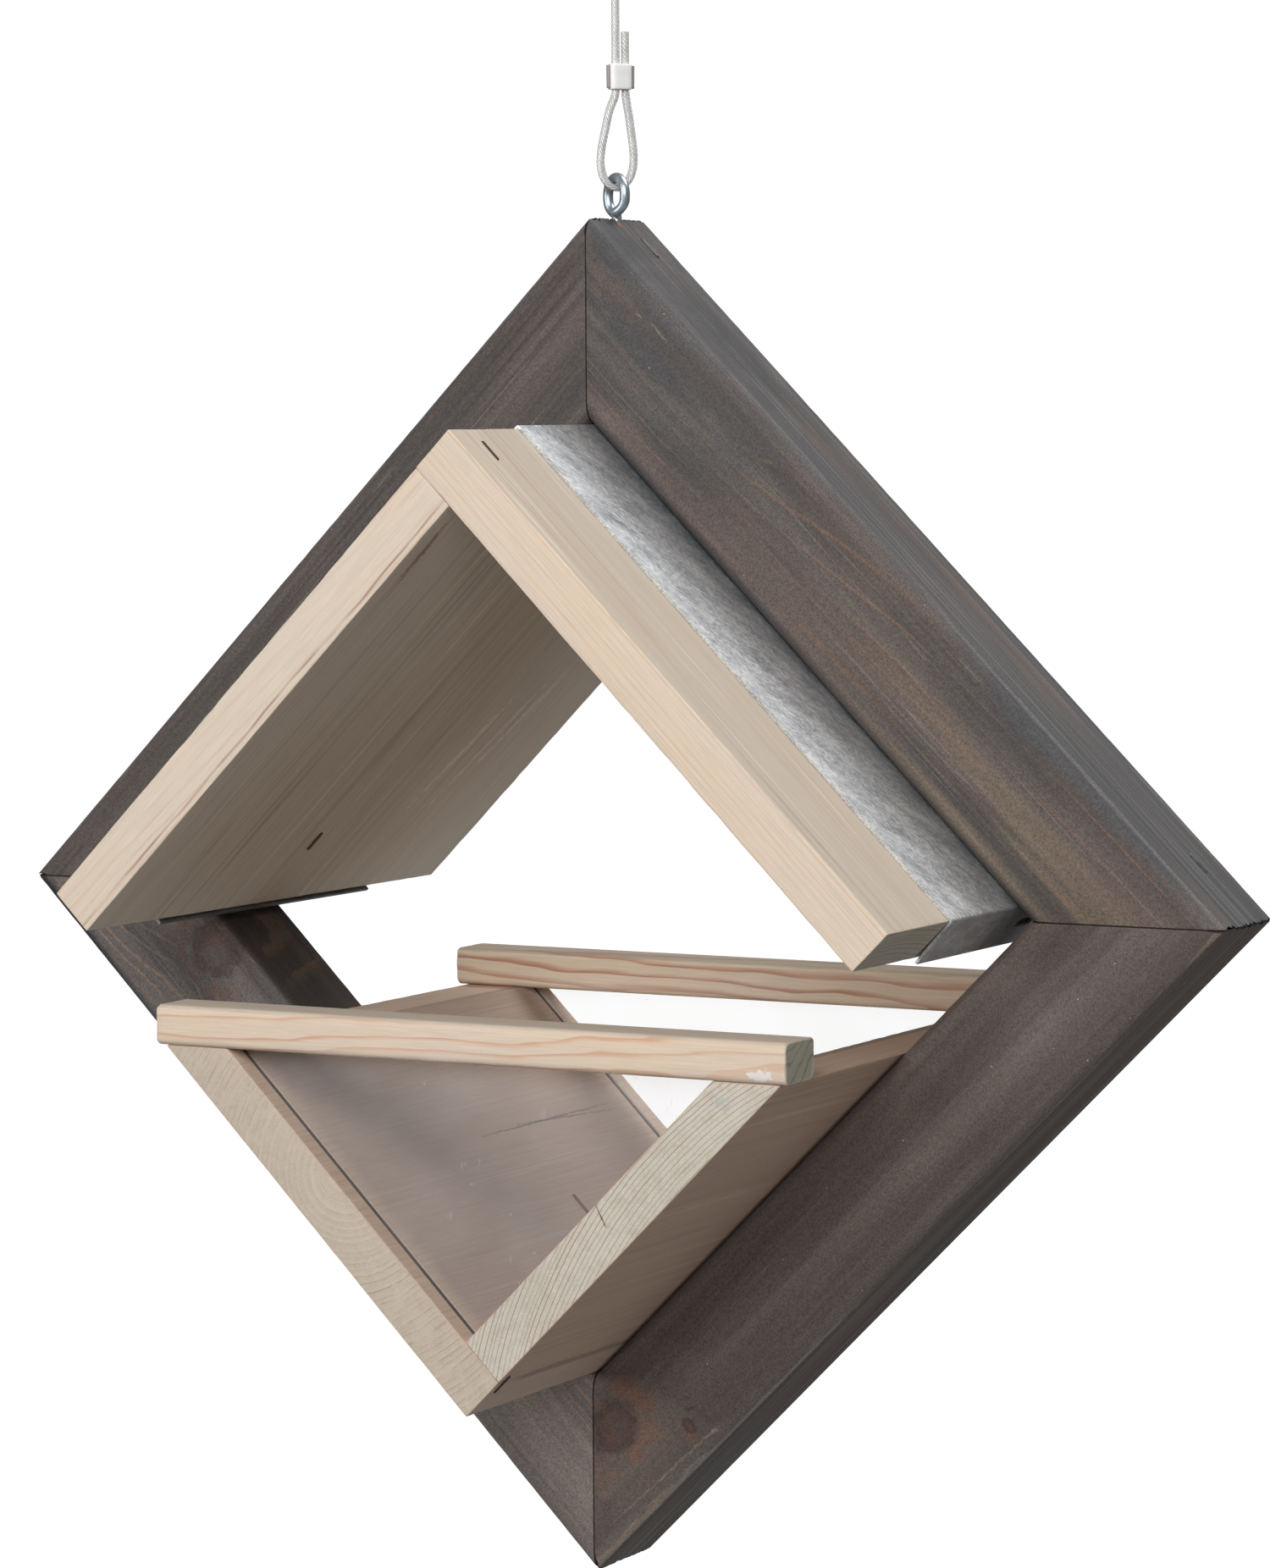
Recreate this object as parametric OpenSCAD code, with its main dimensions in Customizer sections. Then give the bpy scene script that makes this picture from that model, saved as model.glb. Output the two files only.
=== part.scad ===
// Hanging bird feeding house: a square wooden frame stood on one corner, with a
// gabled roof in its upper half and a V-shaped seed tray in its lower half.
// All lengths are in millimetres. The origin is the point inside the upper rope
// loop that rests on a hook. X runs across the house, Y from front (-Y) to back.

/* [Frame] */
// Outer side of the square frame
frame_side = 336; // [300:1:380]
// Width of a frame member, outer face to inner face
frame_w = 50; // [44:1:56]
// Depth of the frame, front to back
frame_depth = 45; // [36:1:60]
// Radius on the long edges of the members
frame_arris = 5; // [1:0.5:8]

/* [Boards] */
// Thickness of the roof boards
roof_t = 18; // [14:0.5:22]
// Gap between the low ends of the roof and the lower frame members
roof_end_gap = 7.6; // [4:0.1:50]
// Depth of the roof, front to back
roof_depth = 232; // [200:1:300]
// Thickness of the tray boards
tray_t = 18; // [14:0.5:22]
// Depth of the tray, front to back
tray_depth = 220; // [180:1:280]
// Height of the tray from its keel to the level cuts
tray_h = 119.5; // [90:0.5:125]
// Gap between the tray and the frame
tray_gap = 0.3; // [0:0.1:2]

/* [Panes] */
// Thickness of the clear end panes
pane_t = 2; // [1.5:0.1:3]
// Width of the grooves that hold the panes
groove_w = 2.4; // [2.2:0.1:4]
// Depth of the grooves
groove_depth = 4; // [2:0.5:8]
// Wood left outside a groove, at the ends of the tray boards
groove_edge = 7.8; // [6:0.2:12]
// Play of a pane against the bottom of its grooves
pane_play = 0.2; // [0.1:0.1:0.6]
// Gap between a pane and the perch above it
pane_top_gap = 0.5; // [0.3:0.1:3]

/* [Perches] */
// Height of a perch strip
perch_h = 14; // [10:0.5:20]
// Width of a perch strip, front to back
perch_w = 21; // [16:0.5:30]
// Distance that a perch stands past the tray ends
perch_proud = 2; // [0:0.5:6]
// Distance that a perch runs past the tray at each side
perch_over = 2.5; // [0:0.5:5]
// Radius on the long edges of a perch
perch_arris = 2.5; // [0.5:0.5:4]

/* [Roof cover] */
// Thickness of the sheet
sheet_t = 1; // [0.6:0.1:1.5]
// Depth of the sheet, front to back
sheet_depth = 140; // [80:1:180]
// Gap between the sheet and the frame
sheet_gap = 0.4; // [0.2:0.1:1.5]
// Length of the turned-down end, from the board's upper face
flange_len = 18.8; // [12:0.2:24]
// Angle by which the turned-down end stands open
flange_open = 3; // [0:0.5:6]
// Length of the oblong hole in each turned-down end
slot_len = 14; // [8:0.5:30]
// Width of the oblong hole
slot_w = 4; // [3:0.5:6]
// Distance of the oblong hole from the board's upper face
slot_drop = 8; // [5:0.5:9]

/* [Fasteners] */
// Width of a staple's crown
staple_crown = 8.9; // [7:0.1:12]
// Width of the staple wire
staple_wire_w = 1.25; // [1:0.05:1.6]
// Thickness of the staple wire
staple_wire_t = 1.05; // [0.8:0.05:1.4]
// Depth that a crown is driven below the surface
staple_sink = 0.5; // [0.2:0.05:1]
// Leg length of the long staples
staple_long = 40; // [34:1:44]
// Leg length of the short staples
staple_short = 15; // [10:1:17]
// Distance of the corner staples from the near corner of the frame
corner_near = 15; // [12:0.5:18]
// Distance of the corner staples from the far corner of the frame
corner_far = 28; // [22:0.5:34]
// Sideways offset of the near corner staples, clear of the eye's shank
corner_side = 4.5; // [4:0.1:8]
// Distance of the ridge staples from the ridge
ridge_staple_in = 10.4; // [9:0.1:12]
// Distance of the ridge staples from the roof's ends
ridge_staple_end = 14.7; // [10:0.1:30]
// Distance of the roof's frame staples from the low ends of the roof
roof_staple_up = 33.5; // [20:0.5:80]
// Offset of the roof's frame staples towards the front
roof_staple_y = 5.5; // [0:0.5:10]
// Distance of the tray's frame staples from the inner keel
tray_staple_at = 38; // [30:0.5:100]
// Offset of the tray's frame staples towards the back
tray_staple_y = 17; // [8:0.5:19]
// Distance of the keel staples from the tray's ends
keel_staple_end = 4; // [3:0.1:6]
// Diameter of the brads through the perches
brad_d = 1.4; // [1:0.1:2]
// Diameter of a brad's head
brad_head_d = 2.4; // [2:0.1:3]
// Length of a brad
brad_len = 23; // [18:0.5:24]
// Distance of a brad from the tray's side
brad_in = 13.5; // [12:0.5:15]
// Distance of a brad from the pane's groove
brad_off = 3.4; // [2:0.1:6]
// Play around the fasteners in the wood
fastener_play = 0.05; // [0.02:0.01:0.2]

/* [Hanger] */
// Outside diameter of the ring of the screw eye
ring_d = 15.6; // [14.8:0.1:16.4]
// Diameter of the wire of the screw eye
eye_wire_d = 3.6; // [3.2:0.1:3.8]
// Length of the shank below the top of the frame
shank_len = 35; // [25:1:45]
// Length of the shank's point
shank_tip = 7; // [4:0.5:10]
// Opening of the ring at the end of its wire, in degrees
ring_open = 21; // [20:1:40]
// Radial play of the shank in its hole
shank_play = 0.05; // [0.01:0.01:0.1]
// Gap between the ring and the top of the frame
ring_gap = 0.3; // [0.2:0.1:0.6]
// Turn of the rope and eye against the frame, in degrees
hanger_turn = 58; // [0:1:90]
// Diameter of the wire rope
rope_d = 2.8; // [2:0.1:2.9]
// Width of a ferrule across both strands
ferrule_w = 9.2; // [8.4:0.1:11]
// Depth of a ferrule
ferrule_depth = 5.2; // [4.4:0.1:6]
// Height of a ferrule
ferrule_h = 8.8; // [7:0.2:10]
// Width over the pressed side lugs of a ferrule
lug_w = 10.8; // [9:0.1:12]
// Thickness of the lugs
lug_t = 1.6; // [1:0.1:2]

/* [Hidden] */
$fn = 64;

// Colours
c_frame = "#5a4a41";
c_roof = "#c3ae95";
c_tray = "#b99f83";
c_tray_2 = "#c7b08f";
c_perch = "#c99a7a";
c_sheet = "#b3b9ba";
c_zinc = "#a9b2b8";
c_steel = "#8f9296";
c_rust = "#7a4a33";
c_rope = "#d9d6cc";
c_ferrule = "#dcdcda";
c_pane = [0.85, 0.88, 0.88, 0.45];

r2 = sqrt(2);

// Route of the wire rope in its own upright plane: [across, height].
// The lower loop hangs through the eye and the upper loop is its mirror image.
rope_low = -125;
loop_route = [[3.8, -71], [3.8, -76], [3.8, -82], [3.8, -87], [3.8, -91.5], [4.1, -94],
              [4.6, -97], [5.2, -100], [5.8, -104], [6.4, -108], [6.9, -112], [7, -115],
              [6.7, -118], [5.7, -121], [4.2, -123], [2.2, -124.5], [0, -125],
              [-2.2, -124.5], [-4, -123], [-5.3, -121], [-6.1, -118], [-6.2, -115],
              [-5.7, -111], [-4.8, -107], [-3.8, -103], [-2.8, -99], [-1.6, -96],
              [-0.6, -94], [0, -91.5], [0, -87], [0, -82], [0, -76], [0, -69]];
rope_mirror = -123.6;
ferrule_low_z = -91;
strand_gap = 3.8;
rope_sides = 8;
strand_play = 0.05;

// Heights along the hanger, from the hook down to the frame
loop_clear = 0.2;
ring_r = (ring_d - eye_wire_d) / 2;
ring_z = rope_low + rope_d / 2 + loop_clear - (ring_r - eye_wire_d / 2);
frame_top = ring_z - ring_d / 2 - ring_gap;
drop = frame_side / r2 - frame_top;

// Frame and what sits in it, measured from the middle of the frame
frame_half = frame_side / r2;
inner_half = frame_half - frame_w * r2;
ridge_z = inner_half - (sheet_t + sheet_gap) * r2;
keel_z = -inner_half + tray_gap * r2;
cut_z = keel_z + tray_h;
groove_y = tray_depth / 2 - groove_edge - groove_w / 2;
perch_y = tray_depth / 2 + perch_proud - perch_w / 2;
brad_x = tray_h - brad_in;
brad_y = groove_y - groove_w / 2 - brad_off;
roof_len = frame_side - 2 * frame_w - sheet_t - sheet_gap - roof_end_gap;
roof_staple_in = roof_len - roof_staple_up;

// A rectangle with quarter-round corners, centred on the origin
module rounded_rect(w, h, r) {
  square([w - 2 * r, h], center = true);
  square([w, h - 2 * r], center = true);
  for (x = [-1, 1], y = [-1, 1])
    translate([x * (w / 2 - r), y * (h / 2 - r)])
      circle(r = r);
}

// Places things measured from the middle of the frame
module at_house() {
  translate([0, 0, -drop])
    children();
}

// Outer face of one frame member: X runs from its upper or first corner along
// the face, Z points out. 0 upper right, 1 lower right, 2 lower left, 3 upper left
module on_member(k) {
  rotate([0, 90 * k, 0])
    translate([0, 0, frame_half])
      rotate([0, 45, 0])
        children();
}

// Outer face of a roof board: X runs down the slope from the ridge
module on_roof(side) {
  mirror([side < 0 ? 1 : 0, 0, 0])
    translate([0, 0, ridge_z])
      rotate([0, 45, 0])
        children();
}

// Outer face of a tray board: X runs up the slope from the keel, Z points in
module on_tray(side) {
  mirror([side < 0 ? 1 : 0, 0, 0])
    translate([0, 0, keel_z])
      rotate([0, -45, 0])
        children();
}

// Turns what hangs on the hook to its rest position against the frame
module on_hanger() {
  rotate([0, 0, hanger_turn])
    children();
}

// A wide-crown staple: the crown lies along X in the surface, the legs point
// to -Z. The play widens it for the holes
module staple(leg, play = 0) {
  t = staple_wire_t;
  a = staple_crown / 2;
  top = t - staple_sink;
  e = 0.35;
  color(c_steel)
    rotate([90, 0, 0])
      linear_extrude(height = staple_wire_w + 2 * play, center = true)
        polygon([[-a - play, top - e], [-a + e, top + play], [a - e, top + play],
                 [a + play, top - e], [a + play, -leg + 2], [a - t * 0.5, -leg - play],
                 [a - t - play, -leg + 1], [a - t - play, -staple_sink - play],
                 [-a + t + play, -staple_sink - play], [-a + t + play, -leg + 1],
                 [-a + t * 0.5, -leg - play], [-a - play, -leg + 2]]);
}

// Staples at the corners of the frame, in the faces of the members 0 and 2
module corner_staple_set(play = 0) {
  for (k = [0, 2])
    on_member(k) {
      translate([corner_near, corner_side, 0])
        staple(staple_long, play);
      translate([frame_side - corner_far, 1.5, 0])
        staple(staple_long, play);
    }
}

// Staples through the right roof board into the end of the left one
module ridge_staple_set(play = 0) {
  for (y = [-1, 1])
    on_roof(1)
      translate([ridge_staple_in, y * (roof_depth / 2 - ridge_staple_end), 0])
        staple(staple_long, play);
}

// Staples from inside the roof, through the sheet and into the frame
module roof_staple_set(play = 0) {
  for (side = [-1, 1])
    on_roof(side)
      translate([roof_staple_in, -roof_staple_y, -roof_t])
        rotate([180, 0, 0])
          staple(staple_long, play);
}

// Short staples that close the joint of the tray boards at the keel
module keel_staple_set(play = 0) {
  for (y = [-1, 1])
    on_tray(1)
      translate([tray_t - 1.5, y * (tray_depth / 2 - keel_staple_end), 0])
        rotate([180, 0, 0])
          staple(staple_short, play);
}

// Staples from inside the tray into the frame
module tray_staple_set(play = 0) {
  for (side = [-1, 1])
    on_tray(side)
      translate([tray_t + tray_staple_at, tray_staple_y, tray_t])
        staple(staple_long, play);
}

// Brads down through the perches into the tray boards
module brad_set(play = 0) {
  for (x = [-1, 1], y = [-1, 1])
    translate([x * brad_x, y * brad_y, cut_z + perch_h]) {
      translate([0, 0, -brad_len + 1.5 - play])
        cylinder(d = brad_d + 2 * play, h = brad_len - 1.8 + play, $fn = 32);
      translate([0, 0, -brad_len - play])
        cylinder(d1 = 0.3, d2 = brad_d + 2 * play, h = 1.5, $fn = 32);
      translate([0, 0, -0.9 - play])
        cylinder(d = brad_head_d + 2 * play, h = 0.8 + 2 * play, $fn = 32);
    }
}

// Shank of the screw eye with its point; the play makes its hole
module shank(play = 0) {
  translate([0, 0, frame_top - shank_len + shank_tip - play])
    cylinder(d = eye_wire_d + 2 * play, h = shank_len - shank_tip + ring_gap + eye_wire_d / 2 + play);
  translate([0, 0, frame_top - shank_len - play])
    cylinder(d1 = 0.8 + 2 * play, d2 = eye_wire_d + 2 * play, h = shank_tip);
}

// One mitred member with rounded long edges, on the local axes of on_member
module frame_bar() {
  intersection() {
    rotate([90, 0, 0])
      linear_extrude(height = frame_depth + 2, center = true)
        polygon([[0, 0], [frame_side, 0], [frame_side - frame_w, -frame_w], [frame_w, -frame_w]]);
    translate([-1, 0, -frame_w / 2])
      rotate([0, 90, 0])
        linear_extrude(height = frame_side + 2)
          rounded_rect(frame_w, frame_depth, frame_arris);
  }
}

module frame_upper_left() {
  color(c_frame)
    difference() {
      at_house() on_member(3) frame_bar();
      shank(shank_play);
      at_house() corner_staple_set(fastener_play);
      at_house() roof_staple_set(fastener_play);
    }
}

module frame_upper_right() {
  color(c_frame)
    difference() {
      at_house() on_member(0) frame_bar();
      shank(shank_play);
      at_house() corner_staple_set(fastener_play);
      at_house() roof_staple_set(fastener_play);
    }
}

module frame_lower_left() {
  color(c_frame)
    difference() {
      at_house() on_member(2) frame_bar();
      at_house() corner_staple_set(fastener_play);
      at_house() tray_staple_set(fastener_play);
    }
}

module frame_lower_right() {
  color(c_frame)
    difference() {
      at_house() on_member(1) frame_bar();
      at_house() corner_staple_set(fastener_play);
      at_house() tray_staple_set(fastener_play);
    }
}

module frame_corner_staples() {
  at_house() corner_staple_set();
}

// Screw eye: a ring of bent wire, its cut end just short of the shank
module eye_screw() {
  color(c_zinc)
    on_hanger() {
      translate([0, 0, ring_z])
        rotate([90, 0, 90])
          rotate([0, 0, -90])
            rotate_extrude(angle = 360 - ring_open)
              translate([ring_r, 0])
                circle(d = eye_wire_d);
      translate([0, 0, ring_z - ring_r])
        sphere(d = eye_wire_d);
      shank();
    }
}

// Tube along a flat route: one ring of points square to the route at each stop
function route_dir(p, i) =
  let (a = p[max(i - 1, 0)], b = p[min(i + 1, len(p) - 1)], d = b - a) d / norm(d);
function tube_ring(p, i, r, n) =
  let (d = route_dir(p, i))
    [for (k = [0:n - 1])
      let (w = 360 * (k + 0.5) / n)
        [p[i][0] - d[1] * r * cos(w), r * sin(w), p[i][1] + d[0] * r * cos(w)]];

module tube(p, r, n) {
  m = len(p);
  points = [for (i = [0:m - 1]) each tube_ring(p, i, r, n)];
  sides = [for (i = [0:m - 2], k = [0:n - 1])
    let (a = i * n + k, b = i * n + (k + 1) % n)
      each [[a, b, b + n], [a, b + n, a + n]]];
  ends = [[for (k = [n - 1:-1:0]) k], [for (k = [0:n - 1]) (m - 1) * n + k]];
  polyhedron(points = points, faces = concat(sides, ends), convexity = 6);
}

upper_route = [for (i = [len(loop_route) - 1:-1:0])
  [loop_route[i][0], rope_mirror - loop_route[i][1]]];
rope_route = concat(loop_route, [[0, -62]], upper_route);

module wire_rope() {
  color(c_rope)
    on_hanger()
      tube(rope_route, rope_d / 2, rope_sides);
}

// Pressed ferrule around both strands, with a thin lug at each side
module ferrule(z0) {
  difference() {
    union() {
      translate([strand_gap / 2, 0, z0 + ferrule_h / 2])
        rotate([0, 0, 0])
          linear_extrude(height = ferrule_h, center = true)
            rounded_rect(ferrule_w, ferrule_depth, ferrule_depth / 2 - 0.05);
      translate([strand_gap / 2, 0, z0 + ferrule_h / 2])
        cube([lug_w, lug_t, ferrule_h - 0.8], center = true);
    }
    for (x = [0, strand_gap])
      translate([x, 0, z0 - 1])
        cylinder(d = rope_d + 2 * strand_play, h = ferrule_h + 2);
  }
}

module ferrule_lower() {
  color(c_ferrule)
    on_hanger()
      ferrule(ferrule_low_z);
}

module ferrule_upper() {
  color(c_ferrule)
    on_hanger()
      ferrule(rope_mirror - ferrule_low_z - ferrule_h);
}

module roof_board_right() {
  color(c_roof)
    difference() {
      at_house()
        on_roof(1)
          translate([0, -roof_depth / 2, -roof_t])
            cube([roof_len, roof_depth, roof_t]);
      at_house() ridge_staple_set(fastener_play);
      at_house() roof_staple_set(fastener_play);
    }
}

// The left board butts under the upper end of the right one
module roof_board_left() {
  color(c_roof)
    difference() {
      at_house()
        on_roof(-1)
          translate([roof_t, -roof_depth / 2, -roof_t])
            cube([roof_len - roof_t, roof_depth, roof_t]);
      at_house() ridge_staple_set(fastener_play);
      at_house() roof_staple_set(fastener_play);
    }
}

module roof_ridge_staples() {
  at_house() ridge_staple_set();
}

module roof_frame_staples() {
  at_house() roof_staple_set();
}

// Half of the bent sheet in the plane of the slope: X down the slope
module sheet_half() {
  e = flange_open;
  polygon([[0, 0], [roof_len, 0], [roof_len, sheet_t], [0, sheet_t]]);
  polygon([[roof_len, 0],
           [roof_len + flange_len * tan(e), -flange_len],
           [roof_len + flange_len * tan(e) + sheet_t / cos(e), -flange_len],
           [roof_len + sheet_t * cos(e), sheet_t * sin(e)]]);
  difference() {
    translate([roof_len, 0])
      circle(r = sheet_t);
    polygon([[roof_len - 3, 0], [roof_len, 0], [roof_len + 4 * tan(e), -4], [roof_len - 3, -4]]);
  }
}

// Galvanised sheet folded over the ridge and turned down over the low ends
module roof_cover() {
  color(c_sheet)
    difference() {
      at_house()
        on_roof(1)
          rotate([90, 0, 0])
            linear_extrude(height = sheet_depth, center = true)
              union() {
                sheet_half();
                mirror([1, 1, 0])
                  sheet_half();
                difference() {
                  circle(r = sheet_t);
                  translate([0, -2 * sheet_t])
                    square(2 * sheet_t);
                }
              }
      for (side = [-1, 1])
        at_house()
          on_roof(side)
            translate([roof_len - 1, 0, -slot_drop]) {
              translate([0, -(slot_len - slot_w) / 2, -slot_w / 2])
                cube([6, slot_len - slot_w, slot_w]);
              for (y = [-1, 1])
                translate([0, y * (slot_len - slot_w) / 2, 0])
                  rotate([0, 90, 0])
                    cylinder(d = slot_w, h = 6, $fn = 32);
            }
      at_house() roof_staple_set(fastener_play);
    }
}

// Cuts for the panes in the inner face of a tray board
module pane_grooves(side) {
  for (y = [-1, 1])
    on_tray(side)
      translate([tray_t - groove_depth, y * groove_y - groove_w / 2, tray_t - groove_depth])
        cube([tray_h * 2, groove_w, groove_depth + 1]);
}

// The left board runs down to the keel and the right one butts on it
module tray_board_left() {
  color(c_tray)
    difference() {
      at_house()
        translate([0, 0, keel_z])
          rotate([90, 0, 0])
            linear_extrude(height = tray_depth, center = true)
              polygon([[0, 0], [tray_t / r2, tray_t / r2],
                       [-tray_h + tray_t * r2, tray_h], [-tray_h, tray_h]]);
      at_house() pane_grooves(-1);
      at_house() keel_staple_set(fastener_play);
      at_house() tray_staple_set(fastener_play);
      at_house() brad_set(fastener_play);
    }
}

module tray_board_right() {
  color(c_tray_2)
    difference() {
      at_house()
        translate([0, 0, keel_z])
          rotate([90, 0, 0])
            linear_extrude(height = tray_depth, center = true)
              polygon([[tray_t / r2, tray_t / r2], [tray_h, tray_h],
                       [tray_h - tray_t * r2, tray_h], [0, tray_t * r2]]);
      at_house() pane_grooves(1);
      at_house() keel_staple_set(fastener_play);
      at_house() tray_staple_set(fastener_play);
      at_house() brad_set(fastener_play);
    }
}

module tray_keel_staples() {
  at_house() keel_staple_set();
}

module tray_frame_staples() {
  color(c_rust)
    at_house() tray_staple_set();
}

// Three-cornered clear pane, held in the grooves and under the perch
module pane(side) {
  low = (tray_t - groove_depth + pane_play) * r2;
  high = tray_h - pane_top_gap;
  color(c_pane)
    at_house()
      translate([0, side * groove_y, keel_z])
        rotate([90, 0, 0])
          linear_extrude(height = pane_t, center = true)
            polygon([[0, low], [high - low, high], [low - high, high]]);
}

module pane_front() {
  pane(-1);
}

module pane_rear() {
  pane(1);
}

// Perch strip across the level cuts of the tray
module perch(side) {
  color(c_perch)
    difference() {
      at_house()
        translate([0, side * perch_y, cut_z + perch_h / 2])
          rotate([0, 90, 0])
            linear_extrude(height = 2 * (tray_h + perch_over), center = true)
              rounded_rect(perch_h, perch_w, perch_arris);
      at_house() brad_set(fastener_play);
    }
}

module perch_front() {
  perch(-1);
}

module perch_rear() {
  perch(1);
}

module perch_brads() {
  color(c_steel)
    at_house() brad_set();
}

frame_upper_left();
frame_upper_right();
frame_lower_left();
frame_lower_right();
frame_corner_staples();
eye_screw();
wire_rope();
ferrule_lower();
ferrule_upper();
roof_board_left();
roof_board_right();
roof_ridge_staples();
roof_cover();
roof_frame_staples();
tray_board_left();
tray_board_right();
tray_keel_staples();
tray_frame_staples();
pane_front();
pane_rear();
perch_front();
perch_rear();
perch_brads();
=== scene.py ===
import math

import bmesh
import bpy
from mathutils import Matrix, Vector, noise


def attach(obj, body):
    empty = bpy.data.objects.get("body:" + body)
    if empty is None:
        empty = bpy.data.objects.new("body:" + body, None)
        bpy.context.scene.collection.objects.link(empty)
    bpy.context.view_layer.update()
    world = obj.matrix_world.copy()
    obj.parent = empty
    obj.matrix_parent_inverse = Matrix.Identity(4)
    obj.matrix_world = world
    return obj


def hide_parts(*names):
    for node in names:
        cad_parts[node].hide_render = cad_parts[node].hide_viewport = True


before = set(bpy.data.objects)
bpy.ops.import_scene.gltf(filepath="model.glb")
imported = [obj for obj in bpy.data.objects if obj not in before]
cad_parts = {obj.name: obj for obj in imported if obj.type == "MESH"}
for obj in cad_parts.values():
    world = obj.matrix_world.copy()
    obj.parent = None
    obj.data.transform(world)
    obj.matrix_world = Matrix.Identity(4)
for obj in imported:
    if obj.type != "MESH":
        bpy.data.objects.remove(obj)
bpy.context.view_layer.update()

# ---------------------------------------------------------------- sizes, in metres
MM = 0.001
ROOT2 = math.sqrt(2)
FULL_TURN = 2 * math.pi

FRAME_SIDE, FRAME_W, FRAME_DEPTH, FRAME_ARRIS = 336 * MM, 50 * MM, 45 * MM, 5 * MM
ROOF_T, ROOF_LEN, ROOF_DEPTH = 18 * MM, 227 * MM, 232 * MM
TRAY_T, TRAY_DEPTH, TRAY_H = 18 * MM, 220 * MM, 119.5 * MM
GROOVE_W, GROOVE_DEPTH, GROOVE_EDGE = 2.4 * MM, 4 * MM, 7.8 * MM
GROOVE_EASE = 0.6 * MM  # how much wider than the CAD's groove it is cut
PERCH_H, PERCH_W, PERCH_ARRIS, PERCH_OVERHANG = 14 * MM, 21 * MM, 2.5 * MM, 2.5 * MM
SHEET_T, SHEET_GAP, TRAY_GAP = 1 * MM, 0.4 * MM, 0.3 * MM
RING_D, EYE_WIRE, RING_GAP, SHANK_LEN = 15.6 * MM, 3.6 * MM, 0.3 * MM, 35 * MM
ROPE_D, ROPE_SLACK, ROPE_LOW = 2.8 * MM, 0.2 * MM, -125 * MM
MITRE_GAP = -0.15 * MM  # the rounded ends meet below the surface

FRAME_HALF = FRAME_SIDE / ROOT2
INNER_HALF = FRAME_HALF - FRAME_W * ROOT2
RIDGE = INNER_HALF - (SHEET_T + SHEET_GAP) * ROOT2
KEEL = -INNER_HALF + TRAY_GAP * ROOT2
RING_R = (RING_D - EYE_WIRE) / 2
RING_Z = ROPE_LOW + ROPE_D / 2 + ROPE_SLACK - (RING_R - EYE_WIRE / 2)
FRAME_TOP = RING_Z - RING_D / 2 - RING_GAP
MIDDLE = Vector((0, 0, FRAME_TOP - FRAME_HALF))  # middle of the frame
TRAY_ACROSS = TRAY_T / ROOT2  # a tray board's thickness, measured level
GROOVE_Y = TRAY_DEPTH / 2 - GROOVE_EDGE - GROOVE_W / 2
PERCH_LEN = 2 * (TRAY_H + PERCH_OVERHANG)
PERCH_Y, PERCH_Z = 101.5 * MM, KEEL + TRAY_H + PERCH_H / 2
HANGER = Matrix.Rotation(math.radians(58), 4, "Z")  # the rope's loop and the ring are turned

# ---------------------------------------------------------------- camera
PHOTO_H, FOCAL_PX = 1852, 5888
SENSOR, FARTHEST = 36, 200
CAMERA_AT = Vector((846.25, -1533.11, -203.39)) * MM
CAMERA_RIGHT = Vector((0.87712466, 0.48022475, -0.00604325))
CAMERA_UP = Vector((-0.03038725, 0.06805116, 0.99721896))
CAMERA_BACK = Vector((0.47930048, -0.8745017, 0.07428206))


def new_object(name, data):
    made = bpy.data.objects.new(name, data)
    bpy.context.scene.collection.objects.link(made)
    return made


def make_camera():
    data = bpy.data.cameras.new("camera")
    data.sensor_width = SENSOR
    data.lens = FOCAL_PX / PHOTO_H * SENSOR
    data.clip_end = FARTHEST
    turn = Matrix((CAMERA_RIGHT, CAMERA_UP, CAMERA_BACK)).transposed()
    camera = new_object("camera", data)
    camera.matrix_world = Matrix.Translation(CAMERA_AT) @ turn.to_4x4()
    bpy.context.scene.camera = camera


make_camera()


# ---------------------------------------------------------------- frames of reference
def axes(x, y, z, at):
    """A place whose axes are x, y and z, as a matrix. at is measured from the frame's middle."""
    turn = Matrix([Vector(axis).normalized() for axis in (x, y, z)]).transposed()
    return Matrix.Translation(MIDDLE + Vector(at)) @ turn.to_4x4()


def on_member(k):
    """Outer face of a frame member: X along it, Z outwards. 0 upper right, then clockwise."""
    a = math.radians(45 + 90 * k)
    b = math.radians(90 * k)
    return axes((math.cos(a), 0, -math.sin(a)), (0, 1, 0), (math.sin(a), 0, math.cos(a)),
                (FRAME_HALF * math.sin(b), 0, FRAME_HALF * math.cos(b)))


def on_roof(side):
    """Outer face of a roof board: X down the slope from the ridge, Z outwards. side is 1 for
    the right board and -1 for the left one."""
    return axes((side, 0, -1), (0, side, 0), (side, 0, 1), (0, 0, RIDGE))


ON_TRAY = axes((0, 1, 0), (-1, 0, 0), (0, 0, 1), (0, 0, KEEL))  # X back, Y left, from the keel


# ---------------------------------------------------------------- mesh tools
MARGIN = 2.5 * MM  # bare stretch at each end of a flat or of a board
STATION = 4 * MM  # distance of a board's cross-sections
CORNER_STEPS = 4
LEAST_RADIUS = 0.02 * MM
DENT = 0.05 * MM  # how uneven a flat face is
BROAD, FINE, FINER = 9, 160, 520  # how often a board's unevenness varies in a metre
TEAR_Y, TEAR_Z = 800, 500  # and how often a ragged end does
SHARP = math.radians(38)  # a cut board's edges sharper than this stay crisp


def add_piece(name, mesh, body, material, stands_for=(), smooth=True):
    """A finished piece: its mesh, material and body, and the CAD nodes it stands for.
    material is None where the mesh has its own."""
    piece = new_object(name, mesh)
    if material:
        mesh.materials.append(material)
    if smooth:
        for face in mesh.polygons:
            face.use_smooth = True
    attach(piece, body)
    if stands_for:
        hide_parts(*stands_for)
    return piece


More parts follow.
